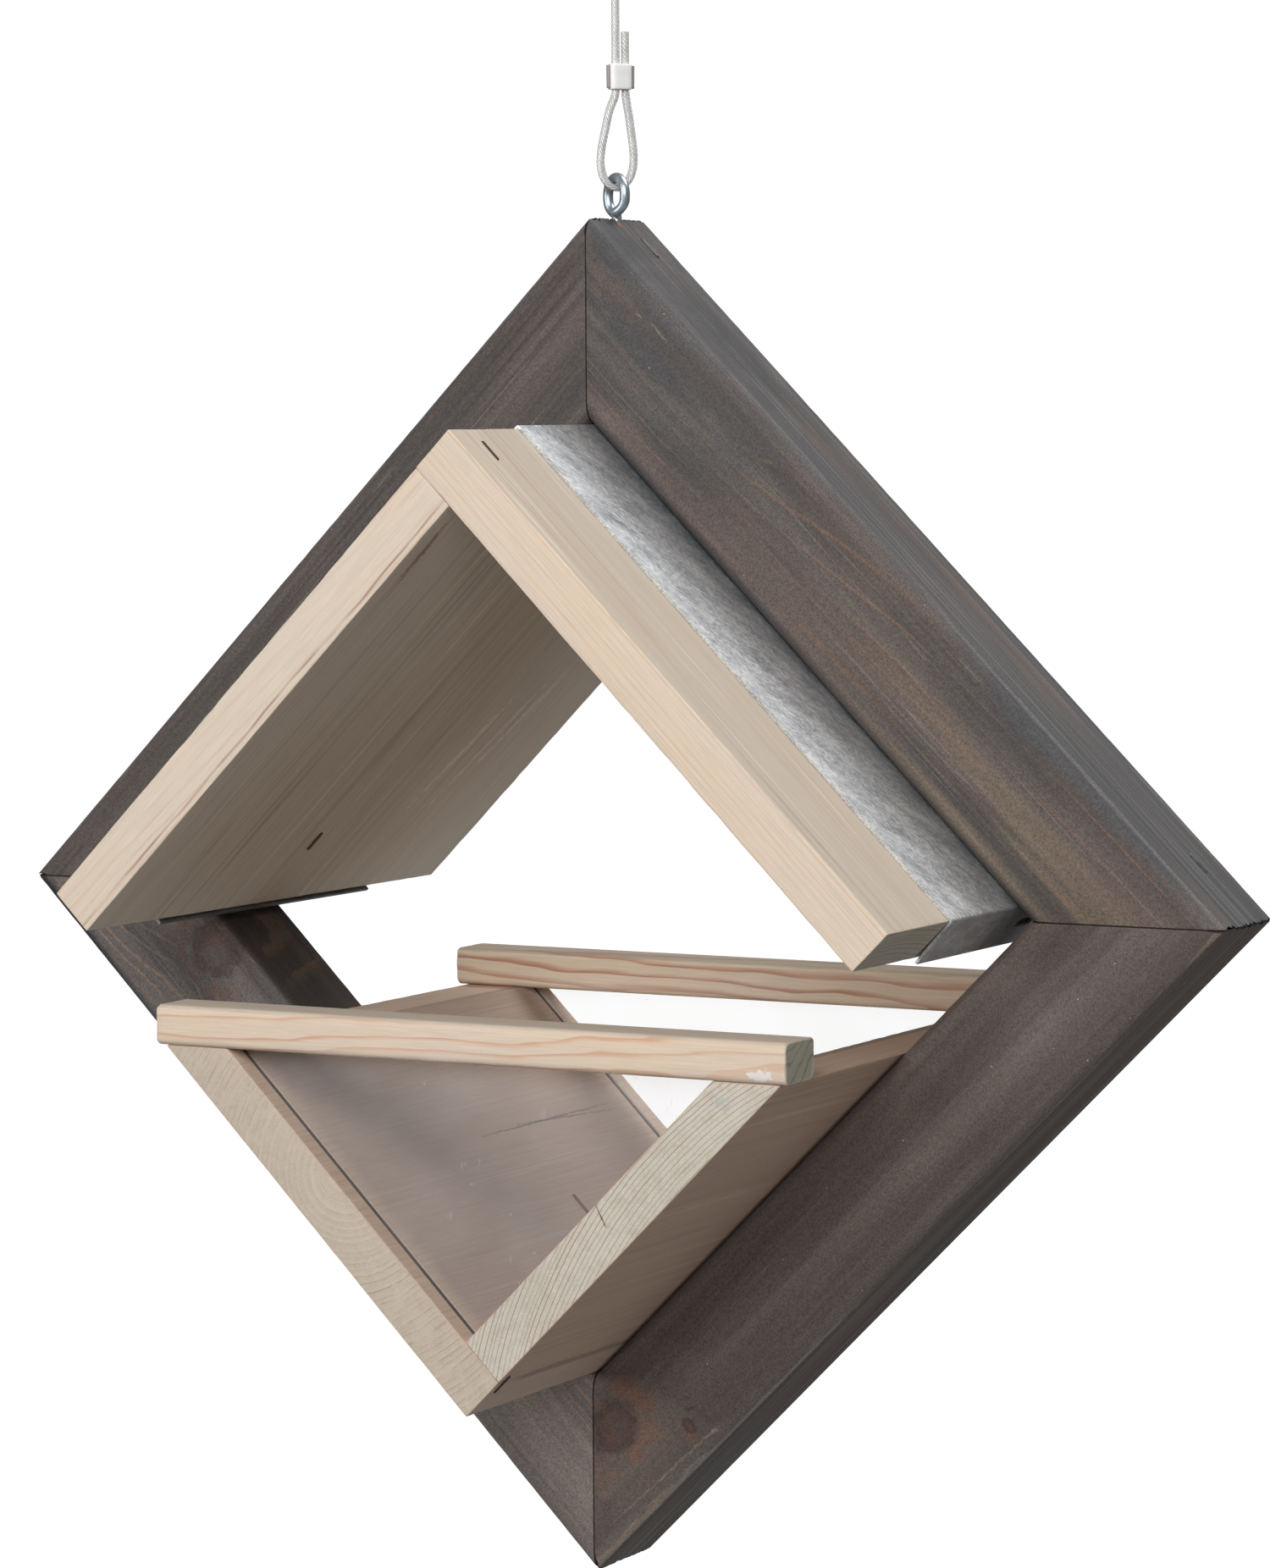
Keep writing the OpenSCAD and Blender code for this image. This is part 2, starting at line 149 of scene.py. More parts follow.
def as_mesh(name, bm):
    """Turns a closed bmesh's faces outwards and keeps it as a mesh."""
    bmesh.ops.recalc_face_normals(bm, faces=bm.faces)
    mesh = bpy.data.meshes.new(name)
    bm.to_mesh(mesh)
    bm.free()
    return mesh


def evaluated_mesh(thing):
    """What an object looks like once its modifiers have run, as a plain mesh."""
    bpy.context.view_layer.update()
    graph = bpy.context.evaluated_depsgraph_get()
    return bpy.data.meshes.new_from_object(thing.evaluated_get(graph))


def skin_rows(bm, rows):
    """Joins closed rows of vertices into a tube with a cap at each end. Returns its faces."""
    n = len(rows[0])
    faces = [bm.faces.new((a[k], a[(k + 1) % n], b[(k + 1) % n], b[k]))
             for a, b in zip(rows, rows[1:]) for k in range(n)]
    return faces + [bm.faces.new(rows[0][::-1]), bm.faces.new(rows[-1])]


def rectangle(width, low, high):
    """A board's section in (Y, Z), anticlockwise seen against X."""
    return [(-width / 2, low), (width / 2, low), (width / 2, high), (-width / 2, high)]


def bend_between(a, b):
    return math.acos(max(-1, min(1, a.dot(b))))


def round_outline(corners, radius, inset, flat_step):
    """An outline with eased corners, drawn in by inset. The number of points doesn't depend
    on the inset. Gives a row of (point, outward way, nearness to a corner, side)."""
    corners = [Vector(c) for c in corners]
    n = len(corners)
    flat_steps = flat_step if isinstance(flat_step, list) else [flat_step] * n
    runs = [corners[(i + 1) % n] - corners[i] for i in range(n)]
    ways = [run.normalized() for run in runs]
    outs = [Vector((d.y, -d.x)) for d in ways]
    spots = []
    r = max(radius - inset, LEAST_RADIUS)
    for i in range(n):
        bend = bend_between(ways[i - 1], ways[i])
        next_bend = bend_between(ways[i], ways[(i + 1) % n])
        # corner of the two inset lines, then the arc's centre
        shift = (inset + r) / math.cos(bend / 2)
        centre = corners[i] - (outs[i - 1] + outs[i]).normalized() * shift
        for k in range(CORNER_STEPS + 1):
            w = k / CORNER_STEPS
            angle = math.atan2(outs[i - 1].y, outs[i - 1].x) + bend * w
            out = Vector((math.cos(angle), math.sin(angle)))
            near = 1.0 if radius < 2 * MM else 0.1 + 0.9 * math.sin(math.pi * w)
            spots.append((centre + out * r, out, near, i if k == CORNER_STEPS else -1))
        # points along the flat that follows
        reach = radius * math.tan(bend / 2)
        length = runs[i].length - reach - radius * math.tan(next_bend / 2)
        count = max(2, int((length - 2 * MARGIN) / flat_steps[i]))
        along = [MARGIN + (length - 2 * MARGIN) * j / count for j in range(count + 1)]
        if length < 3 * MARGIN:
            along = [length * 0.33, length * 0.67]
        start = corners[i] + ways[i] * reach - outs[i] * inset
        spots += [(start + ways[i] * step, outs[i], 0.0, i) for step in along]
    return spots


def board_stops(end_radius, count):
    """Where a board's cross-sections stand: (part, inset, offset, nearness to the cut end)."""
    steps = [k * math.pi / 6 for k in range(4)]
    ease = [(end_radius * (1 - math.sin(a)), end_radius * (1 - math.cos(a)), 1.0) for a in steps]
    ease += [(0.0, end_radius + 0.1 * MM, 0.5), (0.0, MARGIN, 0.0)]
    middle = [("middle", 0.0, k / count, 0.0) for k in range(1, count)]
    return [("start", *stop) for stop in ease] + middle + [("end", *stop) for stop in ease[::-1]]


def bumpiness(scale, seed, x, y, z):
    return noise.noise(Vector((x * scale + seed, y * scale, z * scale)))


def loft_board(name, place, corners, radius, start, end, end_radius, seed, material, node,
               wear, flat_step=5 * MM, sawn_sides=None, ragged=0.0, ragged_from=-1.0):
    """A board of the house whose grain runs along its own X. corners is its section, and start
    and end give where it is cut at a point of the section. sawn_sides says how rough each side
    is. The cut ends are ragged where Z is above ragged_from."""
    bm = bmesh.new()
    worn = bm.verts.layers.float.new("worn")
    joint = bm.verts.layers.float.new("joint")
    sawn = bm.faces.layers.float.new("sawn")
    cut = bm.faces.layers.float.new("end_cut")
    longest = max(end(*c) - start(*c) for c in corners)
    outlines, rows = {}, []
    for part, inset, offset, edge in board_stops(end_radius, max(6, int(longest / STATION))):
        if inset not in outlines:
            outlines[inset] = round_outline(corners, radius, inset, flat_step)
        row = []
        for (y, z), (out_y, out_z), near, _ in outlines[inset]:
            low, high = start(y, z), end(y, z)
            x = {"start": low + offset, "end": high - offset,
                 "middle": low + MARGIN + (high - low - 2 * MARGIN) * offset}[part]
            rub = max(near, edge * 0.4)
            fine = bumpiness(FINE, seed * 3.1, x, y, z)
            finer = bumpiness(FINER, seed, x, y, z)
            inward = DENT * (0.6 + bumpiness(BROAD, seed, x, y, z))
            inward += wear * rub * max(0.0, 0.25 + fine * 0.9 + finer * 0.5)
            push = 0.0
            if edge:
                push = wear * 0.8 * max(0.0, 0.2 + finer * 0.9)
                if ragged and z > ragged_from:
                    tear = noise.noise(Vector((seed, y * TEAR_Y, z * TEAR_Z)))
                    push += ragged * max(0.0, 0.1 + tear * 1.5)
            x += push if part == "start" else -push
            vert = bm.verts.new(place @ Vector((x, y - out_y * inward, z - out_z * inward)))
            vert[worn] = rub
            vert[joint] = 1.0 if edge == 1.0 else 0.0
            row.append(vert)
        rows.append(row)
    sides = [spot[3] for spot in outlines[0.0]]
    n = len(sides)
    for near_row, far_row in zip(rows, rows[1:]):
        for k in range(n):
            after = (k + 1) % n
            face = bm.faces.new((near_row[k], far_row[k], far_row[after], near_row[after]))
            side = sides[k] if sides[k] >= 0 else sides[after]
            face[sawn] = sawn_sides[side] if sawn_sides and side >= 0 else 0.0
    for cap in (rows[0], rows[-1][::-1]):
        bm.faces.new(cap)[cut] = 1.0
    piece = add_piece(name, as_mesh(name, bm), "house", material, (node,), smooth=False)
    for face in piece.data.polygons:
        face.use_smooth = face.loop_total == 4
    return piece


def cut_box(piece, place, size):
    """Cuts a box of the given size, centred on place, out of a piece."""
    bm = bmesh.new()
    bmesh.ops.create_cube(bm, size=1, matrix=place @ Matrix.Diagonal((*size, 1)))
    tool = new_object("cutter", as_mesh("cutter", bm))
    cut = piece.modifiers.new("cut", "BOOLEAN")
    cut.operation, cut.solver, cut.object = "DIFFERENCE", "EXACT", tool
    done = evaluated_mesh(piece)
    piece.modifiers.remove(cut)
    done.name = piece.data.name + "_cut"
    piece.data = done
    done.set_sharp_from_angle(angle=SHARP)
    tool_mesh = tool.data
    bpy.data.objects.remove(tool)
    bpy.data.meshes.remove(tool_mesh)


def smooth_route(points, step):
    """Points about step apart on a smooth curve through the given points."""
    p = [Vector(q) for q in points]
    p = [p[0] * 2 - p[1]] + p + [p[-1] * 2 - p[-2]]
    out = []
    for a, b, c, d in zip(p, p[1:], p[2:], p[3:]):
        n = max(1, round((c - b).length / step))
        for t in (k / n for k in range(n)):
            out.append(0.5 * ((2 * b) + (c - a) * t + (2 * a - 5 * b + 4 * c - d) * t * t
                              + (3 * b - a - 3 * c + d) * t * t * t))
    return out + [p[-2]]


# ---------------------------------------------------------------- node wiring
SOCKETS = {type(None): "NodeSocketGeometry", int: "NodeSocketInt", float: "NodeSocketFloat",
           tuple: "NodeSocketVector"}
HALF = (0.5, 0.5, 0.5)
GIVES_NUMBER = ("LENGTH", "DISTANCE", "DOT_PRODUCT")


class Wire:
    """What comes out of a node's socket. Arithmetic on it adds the node that does it: a vector
    or a colour times a number is scaled, and two of them go part by part."""

    def __init__(self, socket):
        self.socket, self.tree = socket, socket.id_data
        self.has_parts = socket.type in ("VECTOR", "RGBA")

    def __add__(self, other):
        return self.combine("ADD", other)

    def __sub__(self, other):
        return self.combine("SUBTRACT", other)

    def __mul__(self, other):
        one_number = not isinstance(other, tuple) and not getattr(other, "has_parts", False)
        if self.has_parts and one_number:
            return vector("SCALE", self, scale=other)
        return self.combine("MULTIPLY", other)

    def __truediv__(self, other):
        return calc("DIVIDE", self, other)

    def __rsub__(self, other):
        return calc("SUBTRACT", other, self)

    def combine(self, what, other):
        return (vector if self.has_parts else calc)(what, self, other)

    __radd__, __rmul__ = __add__, __mul__


class Outlets:
    """A node's outputs, each as a wire, by name or by number."""

    def __init__(self, sockets):
        self.sockets = sockets

    def __getitem__(self, key):
        return Wire(self.sockets[key])


def srgb(text):
    """A colour from its hex name, as linear values."""
    parts = [int(text[i:i + 2], 16) / 255 for i in (1, 3, 5)]
    return (*(v / 12.92 if v <= 0.04045 else ((v + 0.055) / 1.055) ** 2.4 for v in parts), 1.0)


def feed(sockets, values):
    """Gives each named socket its wire, number, vector or hex colour."""
    for key, value in values.items():
        if isinstance(value, Wire):
            value.tree.links.new(value.socket, sockets[key])
        else:
            sockets[key].default_value = srgb(value) if isinstance(value, str) else value


def put(tree, kind, inputs=(), family="ShaderNode", **settings):
    """Adds a node, sets it up, feeds it and gives its outputs."""
    made = tree.nodes.new(family + kind)
    for key, value in settings.items():
        setattr(made, key, value)
    feed(made.inputs, dict(inputs))
    return Outlets(made.outputs)


def tree_of(*values):
    return next(value.tree for value in values if isinstance(value, Wire))


def calc(what, a, b=0.0, clamp=False):
    return put(tree_of(a, b), "Math", {0: a, 1: b}, operation=what, use_clamp=clamp)[0]


def vector(what, a, b=(0, 0, 0), scale=1.0):
    """Arithmetic on vectors and colours."""
    made = put(a.tree, "VectorMath", {0: a, 1: b, 3: scale}, operation=what)
    return made["Value" if what in GIVES_NUMBER else "Vector"]


def distance_from(a, b):
    return calc("ABSOLUTE", a - b)


def blend(share, a, b):
    """Colour a, and share of it replaced by colour b."""
    return put(tree_of(share, a, b), "Mix", {0: share, 6: a, 7: b}, data_type="RGBA")[2]


def step_up(value, low, high):
    """0 below low, 1 above high, smooth between. It steps down where low is above high."""
    ends = {"Value": value, "From Min": low, "From Max": high}
    return put(value.tree, "MapRange", ends, interpolation_type="SMOOTHSTEP")[0]


def cloud(at, scale, detail=2.0, roughness=0.5, out="Fac"):
    """Cloudy noise. scale is how often it varies in a metre, in all or in each direction."""
    if isinstance(scale, tuple):
        at, scale = at * scale, 1.0
    return put(at.tree, "TexNoise", {"Vector": at, "Scale": scale, "Detail": detail,
                                     "Roughness": roughness})[out]


def clumps(at, scale, low, high, detail=2, roughness=0.6):
    """Where cloudy noise is thick: 0 where it is below low, 1 above high."""
    return step_up(cloud(at, scale, detail, roughness), low, high)


def paint(colour, *coats):
    """Lays coats over a colour, one after the other. Each is a share and a tint."""
    for share, tint in coats:
        colour = blend(share, colour, tint)
    return colour


def parts_of(at):
    split = put(at.tree, "SeparateXYZ", {0: at})
    return split[0], split[1], split[2]


def bump(height, strength, reach):
    return put(height.tree, "Bump", {"Height": height, "Strength": strength,
                                     "Distance": reach})[0]


def new_group(name, inputs, outputs, family="ShaderNodeTree"):
    """A node group, with named inputs and their usual values. The outputs are given with a
    value of their kind."""
    tree = bpy.data.node_groups.new(name, family)
    for way, sockets in (("INPUT", inputs), ("OUTPUT", outputs)):
        for label, value in sockets.items():
            made = tree.interface.new_socket(name=label, in_out=way,
                                             socket_type=SOCKETS[type(value)])
            if value is not None:
                made.default_value = value
    given = Outlets(tree.nodes.new("NodeGroupInput").outputs)
    return tree, given, tree.nodes.new("NodeGroupOutput").inputs


def mask_group(name, inputs, *outputs):
    """A shader group that reads coordinates and puts out masks."""
    return new_group(name, {"Vector": (0, 0, 0), **inputs}, dict.fromkeys(outputs, 0.0))


def build_knot():
    """One knot through a board: its core, its rim, the stained halo round it, and how far it
    pushes the rings."""
    tree, given, made = mask_group(
        "knot", {"Middle": (9, 9, 9), "Size": 6 * MM, "Stretch": (0.75, 0.15, 1.0)},
        "Core", "Rim", "Halo", "Push")
    at, size = given["Vector"], given["Size"]
    wobble = (cloud(at, 140, 3, out="Color") - HALF) * (size * 0.8)
    gap = (at - given["Middle"] + wobble) * given["Stretch"]
    share = vector("LENGTH", gap) / size
    square = share * share
    rings = calc("SINE", share * 17) + 1
    core = (1 - step_up(share, 0.7, 1.15)) * (1 - rings * 0.1)
    core = calc("MULTIPLY", core, square * 0.5 + 0.5, clamp=True)
    rim = 1 - step_up(distance_from(share, 0.95), 0, 0.34)
    rim = rim * clumps(at, 330, 0.4, 0.6, 3, 0.7)
    halo = 1 - step_up(share, 0.9, 3.2)
    halo = halo * ((calc("SINE", share * 5) + 1) * 0.2 + 0.3)
    halo = halo * clumps(at, 95, 0.4, 0.62, 3)
    push = calc("EXPONENT", square * -0.13) * (size * 1.6)
    feed(made, {"Core": core, "Rim": rim, "Halo": halo, "Push": push})
    return tree


def build_softwood():
    """Yearly rings round a heart beside the board, drawn along the grain, with fibres."""
    tree, given, made = mask_group(
        "softwood grain",
        {"Heart": (0, 0, -0.05), "Lean": (0, 0, 0), "Ring Width": 2 * MM, "Wander": 2 * MM,
         "Ripple": 1 * MM, "Push": 0.0, "Line Width": 0.3, "Drift": 2.2},
        "Ring", "Line", "Fibre", "Strand", "Patch", "Height")
    at, year_end = given["Vector"], 0.93
    bent = at - given["Heart"] - given["Lean"] * parts_of(at)[0]
    slow = cloud(at, (2.2, 16, 16), 1, out="Color")
    quick = cloud(at, (16, 90, 90), 2, out="Color")
    bent = bent + (slow - HALF) * (given["Wander"] * 5) + (quick - HALF) * given["Ripple"]
    phase = (vector("LENGTH", bent * (0.004, 1, 1)) + given["Push"]) / given["Ring Width"]
    drift = put(tree, "TexNoise", {"W": phase * 0.31, "Scale": 1, "Detail": 1},
                noise_dimensions="1D")["Fac"]
    phase = phase + drift * given["Drift"]
    part = calc("FRACT", phase)
    year = put(tree, "TexWhiteNoise", {"W": calc("FLOOR", phase)},
               noise_dimensions="1D")["Value"]
    fade = 1 - step_up(part, year_end, 1)
    ring = step_up(part, 0.1, year_end) * fade * (year * 0.6 + 0.4)
    line = step_up(part, year_end - given["Line Width"], year_end) * fade * (year * 0.55 + 0.45)
    fibre = cloud(at, (60, 1700, 1700), 3, 0.65)
    strand = cloud(at, (11, 330, 330), 2, 0.55)
    patch = cloud(at, (7, 34, 34), 2, 0.55)
    height = fibre * 0.5 + line * 0.3 + strand * 0.35
    feed(made, {"Ring": ring, "Line": line, "Fibre": fibre, "Strand": strand, "Patch": patch,
                "Height": height})
    return tree


def build_specks():
    """Scattered small dots, such as dust and bare spots in a stain."""
    tree, given, made = mask_group("light specks", {"Scale": 180.0, "Amount": 0.5}, "Mask")
    cells = put(tree, "TexVoronoi", {"Vector": given["Vector"], "Scale": given["Scale"]})
    pick = put(tree, "SeparateColor", {0: cells["Color"]})
    dot = calc("LESS_THAN", cells["Distance"], pick[1] * 0.09 + 0.03)
    chosen = calc("LESS_THAN", pick[0], given["Amount"] * 0.2)
    feed(made, {"Mask": dot * chosen})
    return tree


def build_hairlines():
    """Thin lines along the grain, as raised or torn fibres make them."""
    tree, given, made = mask_group(
        "fibre hairlines", {"Stretch": (5, 300, 300), "Thickness": 0.02}, "Mask")
    off = distance_from(cloud(given["Vector"] * given["Stretch"], 1, 1.5), 0.5)
    line = 1 - step_up(off / given["Thickness"], 0.3, 1)
    feed(made, {"Mask": line * clumps(given["Vector"], (7, 90, 90), 0.4, 0.6)})
    return tree


def build_split():
    """One thin tapered mark between two points: a split, a scratch or a small stain."""
    tree, given, made = mask_group(
        "split", {"From": (0, 0, 0), "To": (0.01, 0, 0), "Width": 0.5 * MM}, "Mask")
    wobble = (cloud(given["Vector"], 420, 2, out="Color") - HALF) * (given["Width"] * 1.8)
    off = given["Vector"] + wobble - given["From"]
    run = given["To"] - given["From"]
    share = calc("DIVIDE", vector("DOT_PRODUCT", off, run), vector("DOT_PRODUCT", run, run),
                 clamp=True)
    taper = 1.1 - distance_from(share * 2, 1)
    wide = given["Width"] * calc("POWER", taper, 0.5)
    far = vector("DISTANCE", off, run * share)
    feed(made, {"Mask": 1 - step_up(far / wide, 0.3, 0.7)})
    return tree


def build_edge_wear():
    """Broken lines of wear along a board's arrises, from the worn attribute."""
    tree, given, made = mask_group("edge wear", {"Worn": 0.0, "Amount": 0.5}, "Mask")
    coarse = cloud(given["Vector"], (42, 60, 60), 3, 0.65)
    fine = cloud(given["Vector"], (110, 1900, 1900), 2, 0.6)
    level = (coarse * 0.5 + fine * 0.7 + given["Amount"] * 0.3) * given["Worn"]
    feed(made, {"Mask": step_up(level, 0.66, 0.84)})
    return tree


KNOT, SOFTWOOD, SPECKS = build_knot(), build_softwood(), build_specks()
HAIRLINES, SPLIT, EDGE_WEAR = build_hairlines(), build_split(), build_edge_wear()


# ---------------------------------------------------------------- timber
JOINT_SHADOW, GROOVE_SHADOW, DUST = "#1d1917", "#2a231e", "#c4bdb5"
INSIDE_FROM, INSIDE_SHADE = 20 * MM, 0.6  # where a tray board's inside begins, and how much painted shade darkens it


def new_material(name):
    made = bpy.data.materials.new(name)
    made.use_nodes = True
    tree = made.node_tree
    tree.nodes.clear()
    out = tree.nodes.new("ShaderNodeOutputMaterial")
    shader = tree.nodes.new("ShaderNodeBsdfPrincipled")
    tree.links.new(shader.outputs[0], out.inputs[0])
    return made, tree, shader.inputs


def own_coords(tree, place=None):
    """Object coordinates, centred and turned to a board's own axes where place gives them."""
    seen = put(tree, "TexCoord")["Object"]
    if place is None:
        return seen
    return put(tree, "Mapping", {"Vector": seen, "Location": place.to_translation(),
                                 "Rotation": place.to_euler("XYZ")}, vector_type="TEXTURE")[0]


def attribute(tree, name):
    return put(tree, "Attribute", attribute_name=name)["Fac"]


def use(group, at, inputs):
    """Places one of the groups above in a material."""
    return put(at.tree, "Group", {"Vector": at, **inputs}, node_tree=group)


def lay_knots(at, knots):
    """The knots of one board together: core, rim, halo and push. Each is a row: x, y, z and
    size in millimetres, then how much it is squeezed in each direction."""
    total = None
    for *spots, squeeze in knots:
        x, y, z, size = [spot * MM for spot in spots]
        knot = use(KNOT, at, {"Middle": (x, y, z), "Size": size, "Stretch": squeeze})
        found = [knot[key] for key in ("Core", "Rim", "Halo", "Push")]
        if total:
            found = [calc(what, a, b) for what, a, b in
                     zip(("MAXIMUM", "MAXIMUM", "MAXIMUM", "ADD"), total, found)]
        total = found
    return total


def lay_splits(at, colour, splits):
    """Draws a board's marks. Each is a row: x, y, z and x, y, z and width in millimetres, then
    its tint and how much of it shows."""
    for *spots, tint, share in splits:
        x0, y0, z0, x1, y1, z1, width = [spot * MM for spot in spots]
        mask = use(SPLIT, at, {"From": (x0, y0, z0), "To": (x1, y1, z1), "Width": width})[0]
        colour = blend(mask * share, colour, tint)
    return colour


def speckled(at, colour, amount, scale=2600, detail=2):
    """A colour with a fine speckle of pigment."""
    return colour * (cloud(at, scale, detail, 0.6) * amount + (1.0 - amount / 2))


def stained_timber(name, place, heart, ring, line, dark, mid, lines, line_width, warm, blue, wear,
                   lean=(0, 0, 0), wander=2 * MM, brown="#75635a", cool="#4e4f51", blue_out=0.0,
                   far=None, outer_line="#878d95", outer_lines=0.4, hairs=0.3, knots=(),
                   knot_core=None, knot_halo=None, knot_mix=0.8, knot_rim=0.0,
                   inner=None, splits=(), worn_ends=0.0, dust=0.09):
    """Dark grey-brown stain over softwood, with brown and blue-grey streaks."""
    made, tree, finish = new_material(name)
    at = own_coords(tree, place)
    x, _, z = parts_of(at)
    core, rim, halo, push = lay_knots(at, knots) or (0, 0, 0, 0)
    wood = use(SOFTWOOD, at, {"Heart": heart, "Lean": lean, "Ring Width": ring, "Wander": wander,
                              "Ripple": 1.2 * MM, "Line Width": line_width, "Push": push})
    soft = cloud(at, (3.5, 60, 60), 3, 0.58)
    colour = blend(step_up(soft, 0.3, 0.7), dark, mid)
    warmth = step_up(wood["Patch"], 0.5 - 0.25 * warm, 0.78 - 0.25 * warm)
    colour = blend(warmth * (0.25 + 0.75 * warm), colour, brown)
    if far:
        far_tint, from_z, to_z = far
        mask = step_up(x, 0.12, 0.28) * step_up(soft, 0.3, 0.6) * step_up(z, from_z, to_z)
        colour = blend(mask, colour, far_tint)
    # bluish smears, more of them towards the outer edge
    smear = cloud(at, (5, 38, 38), 3, 0.6) + z * (blue_out / FRAME_W)
    smear = step_up(smear, 0.62 - 0.25 * blue, 0.76 - 0.25 * blue)
    # growth lines, where the stain took less or more, and fine lines down the outer face
    broken = clumps(at, (14, 40, 40), 0.34, 0.62, 3)
    lining = step_up(z, -3 * MM, -8 * MM) * lines
    outer = step_up(z, -3 * MM, -0.5 * MM) * outer_lines
    comb = clumps(at, (4, 560, 560), 0.5, 0.62) * outer
    hair = use(HAIRLINES, at, {"Stretch": (5, 330, 330), "Thickness": 0.016})[0]
    colour = paint(colour, (smear * 0.8, cool), (wood["Line"] * broken * lining, line),
                   (wood["Ring"] * 0.22, "#3d3736"),
                   (step_up(wood["Strand"], 0.55, 0.8) * 0.25, "#37312f"),
                   (step_up(wood["Strand"], 0.45, 0.25) * 0.2, "#7a716b"),
                   (comb, outer_line), (hair * hairs, "#948c86"))
    if knots:
        colour = paint(colour, (halo * 0.75, knot_halo), (core * knot_mix, knot_core),
                       (rim * knot_rim, "#2b2423"))
    # painted shade: the inner face and its arris, which look into the house, are darkened
    if inner:
        inner_shade_tint, reach, share = inner
        mask = step_up(z, reach - FRAME_W, 0.3 * reach - FRAME_W) * share
        colour = blend(mask, colour, inner_shade_tint)
    colour = lay_splits(at, colour, splits)
    # wear along the arrises, and more of it at knocked ends
    ends = calc("MAXIMUM", step_up(x, 0.235, 0.32), step_up(x, 0.035, 0)) * worn_ends
    rub = use(EDGE_WEAR, at, {"Worn": attribute(tree, "worn"), "Amount": ends + wear})[0]
    colour = blend(rub * 0.4, colour, blend(ends, "#8d8985", "#b6a188"))
    colour = blend(attribute(tree, "joint") * 0.9, colour, JOINT_SHADOW)
    colour = speckled(at, colour, 1.9, 1500, 4)
    dots = use(SPECKS, at, {"Scale": 330, "Amount": dust})[0]
    feed(finish, {"Base Color": blend(dots * 0.8, colour, DUST),
                  "Roughness": wood["Fibre"] * 0.3 + 0.5, "Specular IOR Level": 0.35,
                  "Normal": bump(wood["Height"], 0.4, 0.2 * MM)})
    return made


def planed_face(at, wood, spring, patch, patches, ramp_tint, lines, summer, seam):
    """Colour of a planed edge, with its growth lines. ramp_tint is what a ring darkens to before
    its line, and seam is the height of a dark resin line."""
    colour = blend(step_up(wood["Patch"], 0.4, 0.7) * patches, spring, patch)
    broken = clumps(at, (8, 60, 60), 0.22, 0.6, roughness=0.5)
    if ramp_tint:
        colour = blend(step_up(wood["Ring"], 0.35, 0.95) * 0.5 * broken, colour, ramp_tint)
    streaky = broken * step_up(wood["Strand"], 0.25, 0.5)
    colour = blend(wood["Line"] * streaky * lines, colour, summer)
    if seam:
        wave = (cloud(at, (22, 0, 0)) - 0.5) * (3 * MM)
        off = calc("ABSOLUTE", parts_of(at)[2] - seam + wave)
        streak = 1 - step_up(off, 0.15 * MM, 0.7 * MM)
        streak = streak * clumps(at, (30, 0, 0), 0.3, 0.6)
        colour = blend(streak * 0.75, colour, "#a4786a")
    return colour, broken


def tray_inside(at, side):
    """Where painted shade darkens a tray board's inner face between the grooves, and the grooves,
    which get a painted shadow.
    """
    x, y, z = parts_of(at)
    across, up_board = y * -side + z, y * side + z
    between = step_up(calc("ABSOLUTE", x), GROOVE_Y, GROOVE_Y - 12 * MM)
    face = between * step_up(across, INSIDE_FROM, INSIDE_FROM + 2 * MM) * INSIDE_SHADE
    off = distance_from(calc("ABSOLUTE", x), GROOVE_Y)
    surface = 2 * TRAY_ACROSS
    groove = (calc("LESS_THAN", off, GROOVE_W / 2 + GROOVE_EASE)
              * calc("GREATER_THAN", across, 15 * MM) * calc("GREATER_THAN", up_board, 10 * MM)
              * step_up(across, surface - 0.7 * MM, surface - 1.1 * MM))
    return face, groove


def end_grain(at, wood, heart, end_tint, end_line, end_lines, pale_heart):
    """Colour of a sawn end. Within pale_heart of the heart its rings are faint."""
    rays = cloud(at, (40, 300, 300), 2, 0.6)
    colour = blend(step_up(rays, 0.4, 0.75) * 0.35, end_tint, "#b3a48e")
    rings = wood["Line"] * end_lines
    if pale_heart:
        away = vector("LENGTH", (at - heart) * (0, 1, 1))
        colour = blend(wood["Ring"] * 0.4, colour, "#d2cbbc")
        rings = rings * step_up(away, pale_heart, pale_heart + 18 * MM)
        rings = rings * clumps(at, 130, 0.4, 0.58)
    return blend(rings, colour, end_line)


